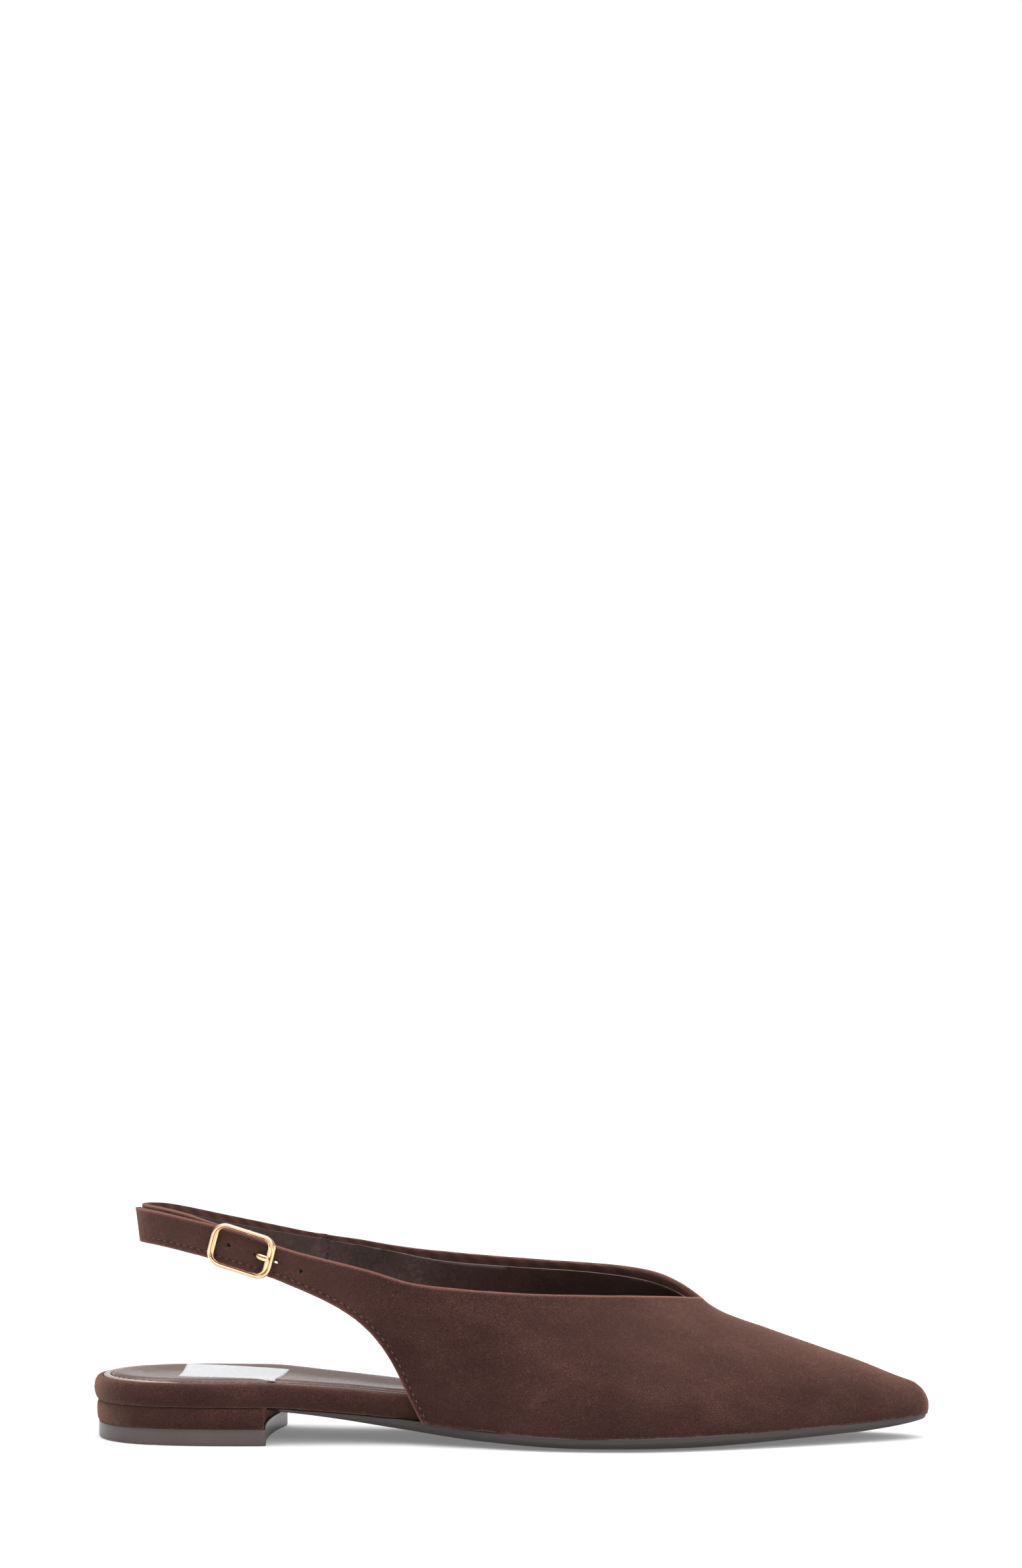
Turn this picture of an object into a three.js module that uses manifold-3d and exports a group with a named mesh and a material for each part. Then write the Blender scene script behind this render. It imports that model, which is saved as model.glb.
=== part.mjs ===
// Right shoe: pointed toe slingback flat on a low stacked heel.
// Millimetres. While it is built, x runs from the back of the heel to the toe, y is 0 on the
// heel's centre line and positive on the inner (medial) side, and z is 0 on the floor.
// The finished group is moved so that its origin is the middle of its footprint, on the floor.
import * as THREE from "three";
import { mergeVertices } from "three/addons/utils/BufferGeometryUtils.js";
import Module from "manifold-3d";

const wasm = await Module();
wasm.setup();

// Length and widths
const SHOE_LENGTH = 268;
const BALL_WIDTH = 74;
const WAIST_WIDTH = 43;
const HEEL_WIDTH = 54.5;
const TIP_SWING = 3.6; // how far the toe tip lies to the inner side

// Heights of what the foot stands on
const TOP_LIFT_HEIGHT = 5.3;
const HEEL_BLOCK_HEIGHT = 6.3;
const FOOTBED_THICKNESS = 7.7;
const FORE_FOOTBED_THICKNESS = 3.4; // under the toes, inside the vamp
const SOCK_THICKNESS = 0.9;
const SOLE_THICKNESS = 4.6; // outsole edge at the ball
const TOE_SPRING = 6.2; // underside of the toe tip above the floor
const CLEARANCE = 0.3; // between pieces that meet

// Heel and outsole
const HEEL_LENGTH = 57; // heel back to the breast at its outer corner
const BREAST_HOLLOW = 2.8; // depth of the breast's curve
const BREAST_SKEW = 3.6; // how far its inner corner lies further forward
const HEEL_INSET = 0.8; // heel block inside the footbed's side
const LIFT_INSET = 0.5; // top lift inside the heel block's side
const LIFT_PROUD = 0.6; // top lift beyond the block at the breast
const SOLE_BEVEL = 8; // ball: how far the sole's underside lies inside its edge
const WAIST_INSET = 1.6; // waist: sole edge inside the footbed's side
const TIP_INSET = 0.9; // toe tip: sole edge inside the upper's foot

// Footbed edge
const SOCK_MARGIN = 2.4; // suede edge that shows round the sock
const SOCK_LENGTH = 214; // heel back to the sock's hidden front end
const SOCK_RECESS = 0.81; // depth of the hollow it lies in
const FOLD_ROOM = 0.4; // beside the upper's wall, for its lasting fold

// Upper
const WALL = 1.9;
const VAMP_LENGTH = 73; // toe tip to the throat
const THROAT_HEIGHT = 45.4;
const OUTER_COLLAR_HEIGHT = 53.3; // outer topline where the quarter's foot ends
const INNER_COLLAR_HEIGHT = 58.4;
const TOE_HEIGHT = 18.2; // top of the blunt nose
const NOSE_DEPTH = 5.6; // nose top behind the toe tip
const QUARTER_FOOT = 106.5; // heel back to the quarters' rear corner on the sole

// Sling strap
const SLING_INSET = 13.8; // heel back to the back of the strap
const SLING_WIDTH = 53; // across the strap where the quarters begin
const SLING_HEIGHT = 73.6; // top edge of the tail at the back of the heel
const SLING_RISE = 1.2; // the inner strap stands this much above the tail
const STRAP_WIDTH = 10.8;
const STRAP_THICKNESS = 1.6;
const STRAP_LEAN = 1.3; // back of the heel: lower edge further in than the top edge
const STRAP_NECK = 57; // heel back to where the outer strap begins to widen
const SEAM_PLACE = 72.5; // heel back to the seam of the sling with the inner quarter
const TAIL_END = 0.8; // the tail ends this far from the heel's centre line
const SLING_REACH = 3.2; // the sling strap ends this far ahead of the buckle's middle
const SLING_EYE = 6; // length of the slot in its end, round the prong's hook

// Buckle
const BUCKLE_PLACE = 49.9; // heel back to the middle of the buckle
const BUCKLE_LENGTH = 21.4;
const BUCKLE_HEIGHT = 13.8;
const BUCKLE_CORNER = 4.6;
const BUCKLE_DEPTH = 1.9;
const BUCKLE_LIFT = 0.55; // back of the frame off the strap's outer face
const BUCKLE_EDGE = 0.45; // rounding of its edges
const RAIL_WIDTH = 1.4; // upper and lower bars
const SIDE_BAR_WIDTH = 3;
const CENTRE_BAR_RADIUS = 0.7;
const POST_RADIUS = 0.5; // posts that carry the centre bar
const CENTRE_BAR_DEPTH = 2; // its axis behind the strap's outer face
const PRONG_RADIUS = 0.55;
const STRAP_DOME = 0.8; // the strap rises this much over the centre bar
const HOLE_PITCH = 7.6; // along the shoe
const HOLE_WIDTH = 1.5;
const PRONG_HOLE = 2.2;
const HOLE_START = 2.85; // buckle middle to the hole with the prong

const COLORS = {
  suede: { color: 0x4e3530, roughness: 0.95, metalness: 0 },
  lining: { color: 0x54423c, roughness: 0.45, metalness: 0 },
  sole: { color: 0x564b4a, roughness: 0.6, metalness: 0 },
  lift: { color: 0x6a5f5f, roughness: 0.5, metalness: 0 },
  gold: { color: 0xd8bd84, roughness: 0.2, metalness: 1 },
};

const OUTER = -1; // side of the shoe with the buckle
const INNER = 1;
const THROAT = SHOE_LENGTH - VAMP_LENGTH;
const HEEL_SEAT = TOP_LIFT_HEIGHT + HEEL_BLOCK_HEIGHT + 2 * CLEARANCE;

// Places along the shoe
const HEEL_CURVE = 0.17 * SHOE_LENGTH; // where the heel's round has become its side
const FLAT_BACK = 0.575 * SHOE_LENGTH; // the sole lies on the floor from here
const FLAT_FRONT = 0.694 * SHOE_LENGTH; // to here
const TOE_BACK = 0.84 * SHOE_LENGTH;
const TOE_FRONT = 0.985 * SHOE_LENGTH;

const mix = (a, b, share) => a + (b - a) * share;
const ramp = (value, from, to) => THREE.MathUtils.smoothstep(value, from, to);
const range = (count) => Array.from({ length: count }, (_, index) => index);

// Smooth curve through the rows of a table. It keeps level stretches level.
function curve(rows, column, bend = (at) => at) {
  const xs = rows.map((row) => bend(row.at));
  const ys = rows.map((row) => row[column]);
  const slopes = xs.slice(1).map((x, i) => (ys[i + 1] - ys[i]) / (x - xs[i]));
  const tangents = xs.map((x, i) => {
    if (i === 0) return slopes[0];
    if (i === xs.length - 1) return slopes[i - 1];
    if (slopes[i - 1] * slopes[i] <= 0) return 0;
    const before = x - xs[i - 1];
    const after = xs[i + 1] - x;
    const tangent = (slopes[i - 1] * after + slopes[i] * before) / (before + after);
    const limit = 3 * Math.min(Math.abs(slopes[i - 1]), Math.abs(slopes[i]));
    return Math.sign(tangent) * Math.min(Math.abs(tangent), limit);
  });
  return (at) => {
    const x = THREE.MathUtils.clamp(bend(at), xs[0], xs[xs.length - 1]);
    let i = 0;
    while (i < xs.length - 2 && x > xs[i + 1]) i += 1;
    const width = xs[i + 1] - xs[i];
    const t = (x - xs[i]) / width;
    const h00 = (1 + 2 * t) * (1 - t) ** 2;
    const h10 = t * (1 - t) ** 2;
    const h01 = t * t * (3 - 2 * t);
    const h11 = t * t * (t - 1);
    return h00 * ys[i] + h10 * width * tangents[i] + h01 * ys[i + 1] + h11 * width * tangents[i + 1];
  };
}

// With this bend a width that falls to 0 at both ends of the shoe closes with a round end.
const roundEnds = (at) => Math.acos(1 - 2 * THREE.MathUtils.clamp(at, 0, 1));
const roundBack = (at) => Math.sqrt(Math.max(at, 0));
const ROUND_POWER = 1.75; // stations crowd towards a round end by this power

// Outline of the sole where the upper meets it. Widths are shares of the named width,
// the place is a share of the shoe's length.
const PLAN = [
  { at: 0, of: HEEL_WIDTH, outer: 0, inner: 0 },
  { at: 0.02, of: HEEL_WIDTH, outer: 0.283, inner: 0.283 },
  { at: 0.047, of: HEEL_WIDTH, outer: 0.4, inner: 0.4 },
  { at: 0.085, of: HEEL_WIDTH, outer: 0.466, inner: 0.466 },
  { at: 0.13, of: HEEL_WIDTH, outer: 0.495, inner: 0.493 },
  { at: 0.175, of: HEEL_WIDTH, outer: 0.498, inner: 0.495 },
  { at: 0.22, of: HEEL_WIDTH, outer: 0.482, inner: 0.472 },
  { at: 0.27, of: WAIST_WIDTH, outer: 0.565, inner: 0.545 },
  { at: 0.32, of: WAIST_WIDTH, outer: 0.53, inner: 0.495 },
  { at: 0.36, of: WAIST_WIDTH, outer: 0.53, inner: 0.48 },
  { at: 0.4, of: WAIST_WIDTH, outer: 0.577, inner: 0.505 },
  { at: 0.45, of: BALL_WIDTH, outer: 0.388, inner: 0.338 },
  { at: 0.5, of: BALL_WIDTH, outer: 0.44, inner: 0.39 },
  { at: 0.55, of: BALL_WIDTH, outer: 0.48, inner: 0.44 },
  { at: 0.6, of: BALL_WIDTH, outer: 0.499, inner: 0.476 },
  { at: 0.64, of: BALL_WIDTH, outer: 0.5, inner: 0.489 },
  { at: 0.69, of: BALL_WIDTH, outer: 0.476, inner: 0.476 },
  { at: 0.74, of: BALL_WIDTH, outer: 0.43, inner: 0.432 },
  { at: 0.79, of: BALL_WIDTH, outer: 0.374, inner: 0.374 },
  { at: 0.84, of: BALL_WIDTH, outer: 0.311, inner: 0.311 },
  { at: 0.89, of: BALL_WIDTH, outer: 0.242, inner: 0.242 },
  { at: 0.94, of: BALL_WIDTH, outer: 0.166, inner: 0.166 },
  { at: 0.97, of: BALL_WIDTH, outer: 0.113, inner: 0.113 },
  { at: 1, of: BALL_WIDTH, outer: 0, inner: 0 },
].map((row) => ({ at: row.at, outer: row.outer * row.of, inner: row.inner * row.of }));

// Sole seen from the side. Underside: arch is a share of the heel seat's height and spring a
// share of the toe spring. Thick is a share of the sole's thickness, bevel of its bevel.
const SOLE = [
  { at: 0.2, arch: 0.93, spring: 0, thick: 0.19, bevel: 0.12 },
  { at: 0.25, arch: 0.82, spring: 0, thick: 0.25, bevel: 0.25 },
  { at: 0.295, arch: 0.655, spring: 0, thick: 0.48, bevel: 0.42 },
  { at: 0.343, arch: 0.455, spring: 0, thick: 0.74, bevel: 0.58 },
  { at: 0.388, arch: 0.29, spring: 0, thick: 0.88, bevel: 0.7 },
  { at: 0.437, arch: 0.15, spring: 0, thick: 0.99, bevel: 0.85 },
  { at: 0.483, arch: 0.08, spring: 0, thick: 0.99, bevel: 0.95 },
  { at: 0.53, arch: 0.03, spring: 0, thick: 0.95, bevel: 1 },
  { at: 0.575, arch: 0, spring: 0, thick: 0.93, bevel: 1 },
  { at: 0.634, arch: 0, spring: 0, thick: 0.93, bevel: 1 },
  { at: 0.694, arch: 0, spring: 0, thick: 1, bevel: 0.95 },
  { at: 0.739, arch: 0, spring: 0.03, thick: 1, bevel: 0.9 },
  { at: 0.787, arch: 0, spring: 0.13, thick: 0.92, bevel: 0.8 },
  { at: 0.832, arch: 0, spring: 0.26, thick: 0.85, bevel: 0.65 },
  { at: 0.877, arch: 0, spring: 0.385, thick: 0.8, bevel: 0.48 },
  { at: 0.925, arch: 0, spring: 0.55, thick: 0.71, bevel: 0.3 },
  { at: 0.97, arch: 0, spring: 0.775, thick: 0.55, bevel: 0.15 },
  { at: 1, arch: 0, spring: 1, thick: 0.31, bevel: 0.06 },
];

// Ridge of the vamp from the throat (0) to the nose (1). Height is a share of the way from the
// nose top up to the throat. Flare and rise lead off the sole, spread and drop lead on to the
// ridge, all four as shares of the section's height.
const RIDGE = [
  { at: 0, height: 1, swing: 0.12, flare: 0.05, rise: 0.42, spread: 0.3, drop: 0.16 },
  { at: 0.035, height: 0.925, swing: 0.12, flare: 0.05, rise: 0.43, spread: 0.31, drop: 0.13 },
  { at: 0.07, height: 0.865, swing: 0.13, flare: 0.05, rise: 0.44, spread: 0.33, drop: 0.09 },
  { at: 0.135, height: 0.79, swing: 0.15, flare: 0.05, rise: 0.45, spread: 0.36, drop: 0.05 },
  { at: 0.25, height: 0.69, swing: 0.22, flare: 0.05, rise: 0.46, spread: 0.38, drop: 0.03 },
  { at: 0.38, height: 0.572, swing: 0.35, flare: 0.055, rise: 0.46, spread: 0.39, drop: 0.03 },
  { at: 0.56, height: 0.415, swing: 0.57, flare: 0.06, rise: 0.46, spread: 0.4, drop: 0.04 },
  { at: 0.75, height: 0.245, swing: 0.8, flare: 0.08, rise: 0.44, spread: 0.41, drop: 0.05 },
  { at: 0.9, height: 0.09, swing: 0.94, flare: 0.12, rise: 0.38, spread: 0.43, drop: 0.1 },
  { at: 1, height: 0, swing: 1, flare: 0.15, rise: 0.34, spread: 0.45, drop: 0.16 },
];

// Toplines from the back of the sling (0) to the throat (1). Half is a share of the sling's
// width. Height: low is a share of the way from throat height to collar height, high a share
// of the way on from collar height to sling height.
const OUTER_TOPLINE = [
  { at: 0, half: 0, low: 1, high: 1, spread: 0, drop: 0.33 },
  { at: 0.017, half: 0.115, low: 1, high: 0.987, spread: 0, drop: 0.33 },
  { at: 0.045, half: 0.19, low: 1, high: 0.965, spread: 0, drop: 0.33 },
  { at: 0.09, half: 0.265, low: 1, high: 0.9, spread: 0, drop: 0.33 },
  { at: 0.15, half: 0.33, low: 1, high: 0.79, spread: 0, drop: 0.33 },
  { at: 0.22, half: 0.39, low: 1, high: 0.63, spread: 0, drop: 0.33 },
  { at: 0.265, half: 0.415, low: 1, high: 0.475, spread: 0, drop: 0.33 },
  { at: 0.315, half: 0.441, low: 1, high: 0.36, spread: 0, drop: 0.33 },
  { at: 0.38, half: 0.471, low: 1, high: 0.225, spread: 0.01, drop: 0.33 },
  { at: 0.44, half: 0.49, low: 1, high: 0.095, spread: 0.03, drop: 0.33 },
  { at: 0.47, half: 0.496, low: 1, high: 0, spread: 0.04, drop: 0.33 },
  { at: 0.58, half: 0.478, low: 0.62, high: 0, spread: 0.07, drop: 0.33 },
  { at: 0.69, half: 0.423, low: 0.43, high: 0, spread: 0.11, drop: 0.32 },
  { at: 0.8, half: 0.332, low: 0.31, high: 0, spread: 0.17, drop: 0.3 },
  { at: 0.909, half: 0.186, low: 0.18, high: 0, spread: 0.24, drop: 0.24 },
  { at: 0.97, half: 0.07, low: 0.06, high: 0, spread: 0.28, drop: 0.19 },
  { at: 1, half: 0, low: 0, high: 0, spread: 0.3, drop: 0.16 },
];
const INNER_TOPLINE = [
  { at: 0, half: 0, low: 1, high: 1, spread: 0, drop: 0.33 },
  { at: 0.017, half: 0.115, low: 1, high: 0.99, spread: 0, drop: 0.33 },
  { at: 0.045, half: 0.19, low: 1, high: 0.955, spread: 0, drop: 0.33 },
  { at: 0.09, half: 0.265, low: 1, high: 0.85, spread: 0, drop: 0.33 },
  { at: 0.15, half: 0.33, low: 1, high: 0.69, spread: 0, drop: 0.33 },
  { at: 0.22, half: 0.39, low: 1, high: 0.51, spread: 0, drop: 0.33 },
  { at: 0.31, half: 0.441, low: 1, high: 0.29, spread: 0, drop: 0.33 },
  { at: 0.38, half: 0.471, low: 1, high: 0.17, spread: 0.01, drop: 0.33 },
  { at: 0.47, half: 0.49, low: 1, high: 0, spread: 0.04, drop: 0.33 },
  { at: 0.58, half: 0.474, low: 0.86, high: 0, spread: 0.07, drop: 0.33 },
  { at: 0.69, half: 0.442, low: 0.75, high: 0, spread: 0.1, drop: 0.33 },
  { at: 0.8, half: 0.39, low: 0.68, high: 0, spread: 0.13, drop: 0.32 },
  { at: 0.865, half: 0.34, low: 0.61, high: 0, spread: 0.16, drop: 0.3 },
  { at: 0.909, half: 0.285, low: 0.53, high: 0, spread: 0.19, drop: 0.28 },
  { at: 0.955, half: 0.19, low: 0.33, high: 0, spread: 0.24, drop: 0.22 },
  { at: 0.983, half: 0.095, low: 0.14, high: 0, spread: 0.28, drop: 0.18 },
  { at: 1, half: 0, low: 0, high: 0, spread: 0.3, drop: 0.16 },
];

// Rear edge of a quarter, from its foot on the sole (0) to the strap (1). Back and up are
// shares of the way between those two points.
const REAR_EDGE = [
  { at: 0, back: 0, up: 0 },
  { at: 0.13, back: 0.077, up: 0.166 },
  { at: 0.26, back: 0.144, up: 0.33 },
  { at: 0.39, back: 0.227, up: 0.492 },
  { at: 0.5, back: 0.32, up: 0.622 },
  { at: 0.62, back: 0.47, up: 0.755 },
  { at: 0.74, back: 0.64, up: 0.846 },
  { at: 0.87, back: 0.82, up: 0.925 },
  { at: 1, back: 1, up: 1 },
];

// Outline and sole heights as functions of x
const outlineOf = {
  [OUTER]: curve(PLAN, "outer", roundEnds),
  [INNER]: curve(PLAN, "inner", roundEnds),
};
const archOf = curve(SOLE, "arch");
const springOf = curve(SOLE, "spring");
const thickOf = curve(SOLE, "thick");
const bevelOf = curve(SOLE, "bevel");

const swingAt = (x) => TIP_SWING * ramp(x, 0.62 * SHOE_LENGTH, 1.12 * SHOE_LENGTH) / ramp(1, 0.62, 1.12);
const edgeAt = (x, side) => swingAt(x) + side * outlineOf[side](x / SHOE_LENGTH);
const undersideAt = (x) => archOf(x / SHOE_LENGTH) * HEEL_SEAT + springOf(x / SHOE_LENGTH) * TOE_SPRING;
const soleTopAt = (x) => {
  const top = undersideAt(x) + thickOf(x / SHOE_LENGTH) * SOLE_THICKNESS;
  const breast = HEEL_LENGTH + BREAST_SKEW;
  return mix(HEEL_SEAT - CLEARANCE, top, ramp(x, breast - 3, breast + 8));
};
const footbedTopAt = (x) => {
  const thickness = mix(FOOTBED_THICKNESS, FORE_FOOTBED_THICKNESS, ramp(x, QUARTER_FOOT, THROAT));
  return soleTopAt(x) + CLEARANCE + thickness;
};

// Top rails of the upper: the ridge ahead of the throat, the toplines behind it
const ridgeEnd = SHOE_LENGTH - NOSE_DEPTH;
function railFrom(rows, bend) {
  const columns = Object.keys(rows[0]).filter((name) => name !== "at");
  return Object.fromEntries(columns.map((name) => [name, curve(rows, name, bend)]));
}
const ridge = railFrom(RIDGE);
function toplineFrom(rows, collar, back) {
  const heights = rows.map((row) => {
    const height = mix(mix(THROAT_HEIGHT, collar, row.low), back, row.high);
    return { ...row, height };
  });
  return railFrom(heights, roundBack);
}
const toplines = {
  [OUTER]: toplineFrom(OUTER_TOPLINE, OUTER_COLLAR_HEIGHT, SLING_HEIGHT),
  [INNER]: toplineFrom(INNER_TOPLINE, INNER_COLLAR_HEIGHT, SLING_HEIGHT + SLING_RISE),
};

function railAt(x, side) {
  if (x >= THROAT) {
    const at = (x - THROAT) / (ridgeEnd - THROAT);
    return {
      x,
      y: TIP_SWING * ridge.swing(at),
      z: mix(TOE_HEIGHT, THROAT_HEIGHT, ridge.height(at)),
      flare: ridge.flare(at),
      rise: ridge.rise(at),
      spread: ridge.spread(at),
      drop: ridge.drop(at),
    };
  }
  const rail = toplines[side];
  const at = (x - SLING_INSET) / (THROAT - SLING_INSET);
  const forward = ramp(x, QUARTER_FOOT - 10, THROAT);
  return {
    x,
    y: side * SLING_WIDTH * rail.half(at) + TIP_SWING * RIDGE[0].swing * ramp(at, 0.8, 1),
    z: rail.height(at),
    flare: mix(0.08, RIDGE[0].flare, forward),
    rise: mix(0.33, RIDGE[0].rise, forward),
    spread: rail.spread(at),
    drop: rail.drop(at),
  };
}

// Point on the outside of the upper. It lies on the section that joins a point of the sole's
// outline (x = footX) to a point of the top rail (x = topX); share runs from 0 to 1 up it.
function shellPoint(footX, topX, side, share) {
  const rail = railAt(topX, side);
  const foot = new THREE.Vector3(footX, edgeAt(footX, side), soleTopAt(footX) + CLEARANCE);
  const top = new THREE.Vector3(rail.x, rail.y, rail.z);
  const height = top.z - foot.z;
  const outward = new THREE.Vector3(0, side, 0);
  if (topX > THROAT) outward.set(foot.x - top.x, foot.y - top.y, 0).normalize();
  const lower = foot.clone().addScaledVector(outward, rail.flare * height);
  lower.z += rail.rise * height;
  const upper = top.clone().addScaledVector(outward, rail.spread * height);
  upper.z -= rail.drop * height;
  const section = new THREE.CubicBezierCurve3(foot, lower, upper, top);
  const point = section.getPoint(share);
  const strapShare = 1 - ramp(topX, STRAP_NECK + 2, STRAP_NECK + 28);
  if (strapShare > 0) {
    point.x = mix(point.x, top.x, strapShare);
    point.y = mix(point.y, top.y, strapShare);
  }
  return point;
}

const strapLowAt = (x, side) => railAt(x, side).z - STRAP_WIDTH;
const strapStart = { [OUTER]: STRAP_NECK, [INNER]: SEAM_PLACE };
const rearBack = curve(REAR_EDGE, "back");
const rearUp = curve(REAR_EDGE, "up");

// One column of the upper behind the throat: foot end and top end, in side view
function quarterColumns(side) {
  const start = strapStart[side];
  const footHeight = soleTopAt(QUARTER_FOOT) + CLEARANCE;
  const rearCount = side === OUTER ? 12 : 9;
  const reach = QUARTER_FOOT + 9;
  const rear = range(rearCount).map((index) => {
    const share = 1 - (index + 1) / rearCount;
    return {
      top: mix(start, reach, (index + 1) / rearCount),
      foot: mix(QUARTER_FOOT, start, rearBack(share)),
      low: mix(footHeight, strapLowAt(start, side), rearUp(share)),
    };
  });
  const frontCount = 12;
  const front = range(frontCount).map((index) => {
    const share = (index + 1) / frontCount;
    const eased = share * (1.35 - 0.35 * share);
    const top = mix(reach, THROAT, eased);
    return { top, foot: top - (reach - QUARTER_FOOT) * (1 - eased) ** 2, low: null };
  });
  return [...rear, ...front];
}

const COLUMN_ROOM = 1.3; // least space between a hole's column and the next
const HOLES = range(4).map((index) => ({
  x: BUCKLE_PLACE + HOLE_START + (index - 1) * HOLE_PITCH,
  width: index === 1 ? PRONG_HOLE : HOLE_WIDTH,
}));

// Columns of the outer strap from the tail's end to the neck, with one cell at each hole
function strapColumns() {
  const round = OUTER_TOPLINE[1];
  const tailShare = round.at * (TAIL_END / (SLING_WIDTH * round.half)) ** 2;
  const tailBack = mix(SLING_INSET, THROAT, tailShare);
  const steps = 15;
  const plain = range(steps).map((index) => mix(tailBack, STRAP_NECK, (index / steps) ** ROUND_POWER));
  const edges = HOLES.filter((hole) => hole.x < STRAP_NECK)
    .flatMap((hole) => [hole.x - hole.width / 2, hole.x + hole.width / 2]);
  const clear = plain.filter((x) => edges.every((edge) => Math.abs(x - edge) > COLUMN_ROOM));
  return [...clear, ...edges, STRAP_NECK]
    .sort((a, b) => a - b)
    .map((x) => ({ top: x, foot: x, low: strapLowAt(x, OUTER) }));
}

// Columns ahead of the throat, closer together towards the tip
function vampColumns() {
  const count = 16;
  return range(count).map((index) => {
    const left = (1 - (index + 1) / count) ** 1.5;
    return {
      top: mix(ridgeEnd, THROAT, left),
      foot: mix(SHOE_LENGTH, THROAT, left),
      low: null,
    };
  });
}

const ROWS = 9; // cells from the edge up to the top rail, an odd number
const HOLE_ROW = (ROWS - 1) / 2;

function upperColumns(side) {
  const quarter = quarterColumns(side);
  if (side === INNER) {
    const seam = { top: SEAM_PLACE, foot: SEAM_PLACE, low: strapLowAt(SEAM_PLACE, INNER) };
    return [seam, ...quarter, ...vampColumns()];
  }
  const forwardHoles = HOLES.filter((hole) => hole.x > STRAP_NECK)
    .flatMap((hole) => [hole.x - hole.width / 2, hole.x + hole.width / 2]);
  const neck = { top: STRAP_NECK, foot: STRAP_NECK, low: strapLowAt(STRAP_NECK, OUTER) };
  const rearRows = [neck, ...quarter.filter((column) => column.low !== null)]
    .map((column) => ({ at: column.top, ...column }));
  const footOf = curve(rearRows, "foot");
  const lowOf = curve(rearRows, "low");
  const isClear = (column) => forwardHoles.every((edge) => Math.abs(column.top - edge) > COLUMN_ROOM);
  const clear = quarter.filter(isClear);
  const holeColumns = forwardHoles.map((x) => ({ top: x, foot: footOf(x), low: lowOf(x) }));
  const joined = [...clear, ...holeColumns].sort((a, b) => a.top - b.top);
  return [...strapColumns(), ...joined, ...vampColumns()];
}

// How far the strap's outer face stands out over the centre bar, and how far it leans in at the
// back of the heel; down runs from 0 at its top edge to 1 at its lower edge
function domeAt(x, side) {
  if (side === INNER) return 0;
  return STRAP_DOME * (1 - ramp(Math.abs(x - BUCKLE_PLACE), 0, BUCKLE_LENGTH * 0.42));
}
const leanAt = (x, down) => STRAP_LEAN * down * (1 - ramp(x, SLING_INSET, BUCKLE_PLACE - 14));

// Outer face of one side of the upper as a grid of points, column by column
function upperGrid(side) {
  return upperColumns(side).map((column) => range(ROWS + 1).map((row) => {
    let share = row / ROWS;
    if (column.low === null) return shellPoint(column.foot, column.top, side, share);
    const rail = railAt(column.top, side);
    const hole = side === OUTER && HOLES.find((item) => (
      Math.abs(Math.abs(column.top - item.x) - item.width / 2) < 0.01));
    if (hole && (row === HOLE_ROW || row === HOLE_ROW + 1)) {
      const half = hole.width / 2 / (rail.z - column.low);
      share = 0.5 + (row === HOLE_ROW ? -half : half);
    }
    const x = mix(column.foot, column.top, share);
    const z = mix(column.low, rail.z, share);
    const local = railAt(x, side);
    const footZ = soleTopAt(x) + CLEARANCE;
    const onShell = shellPoint(x, x, side, (z - footZ) / (local.z - footZ));
    const out = domeAt(x, side) - leanAt(x, 1 - share);
    if (out === 0) return new THREE.Vector3(onShell.x, onShell.y, z);
    const { outward } = slingFrame(x, side);
    return new THREE.Vector3(onShell.x + outward.x * out, onShell.y + outward.y * out, z);
  }));
}

// Turns grids of cells with an outer and an inner face into one closed wall
class Wall {
  constructor() {
    this.points = [];
    this.lookup = new Map();
    this.cells = [];
  }

  index(point) {
    const key = [point.x, point.y, point.z].map((value) => Math.round(value * 1000)).join();
    if (!this.lookup.has(key)) {
      this.lookup.set(key, this.points.length);
      this.points.push(point);
    }
    return this.lookup.get(key);
  }

  addGrid(grid, flip, isOpen = () => false) {
    grid.slice(0, -1).forEach((column, i) => {
      column.slice(0, -1).forEach((_, j) => {
        if (isOpen(i, j)) return;
        const cell = [grid[i][j], grid[i + 1][j], grid[i + 1][j + 1], grid[i][j + 1]];
        const corners = cell.map((point) => this.index(point)).filter((id, k, all) => id !== all[(k + 3) % 4]);
        this.cells.push(flip ? corners.reverse() : corners);
      });
    });
  }

  normals() {
    const normals = this.points.map(() => new THREE.Vector3());
    this.cells.forEach((cell) => {
      const [a, b, c] = [cell[0], cell[1], cell[2]].map((id) => this.points[id]);
      const d = this.points[cell[cell.length - 1]];
      const across = cell.length === 4 ? c.clone().sub(a) : b.clone().sub(a);
      const along = cell.length === 4 ? d.clone().sub(b) : c.clone().sub(a);
      const normal = across.cross(along);
      cell.forEach((id) => normals[id].add(normal));
    });
    return normals.map((normal) => normal.normalize());
  }

  // thickness(point) is the wall there; settle(inner, outer) may move an inner point
  solid(thickness, settle = (inner) => inner) {
    const normals = this.normals();
    const inner = this.points.map((point, id) => (
      settle(point.clone().addScaledVector(normals[id], -thickness(point)), point, normals[id])));
    const count = this.points.length;
    const faces = [];
    const edges = new Map();
    this.cells.forEach((cell) => {
      for (let k = 1; k < cell.length - 1; k += 1) {
        faces.push([cell[0], cell[k], cell[k + 1]]);
        faces.push([cell[0] + count, cell[k + 1] + count, cell[k] + count]);
      }
      cell.forEach((from, k) => edges.set(`${from},${cell[(k + 1) % cell.length]}`, true));
    });
    edges.forEach((_, edge) => {
      const [from, to] = edge.split(",").map(Number);
      if (edges.has(`${to},${from}`)) return;
      faces.push([to, from, from + count]);
      faces.push([to, from + count, to + count]);
    });
    return geometryFrom([...this.points, ...inner], faces);
  }
}

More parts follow.
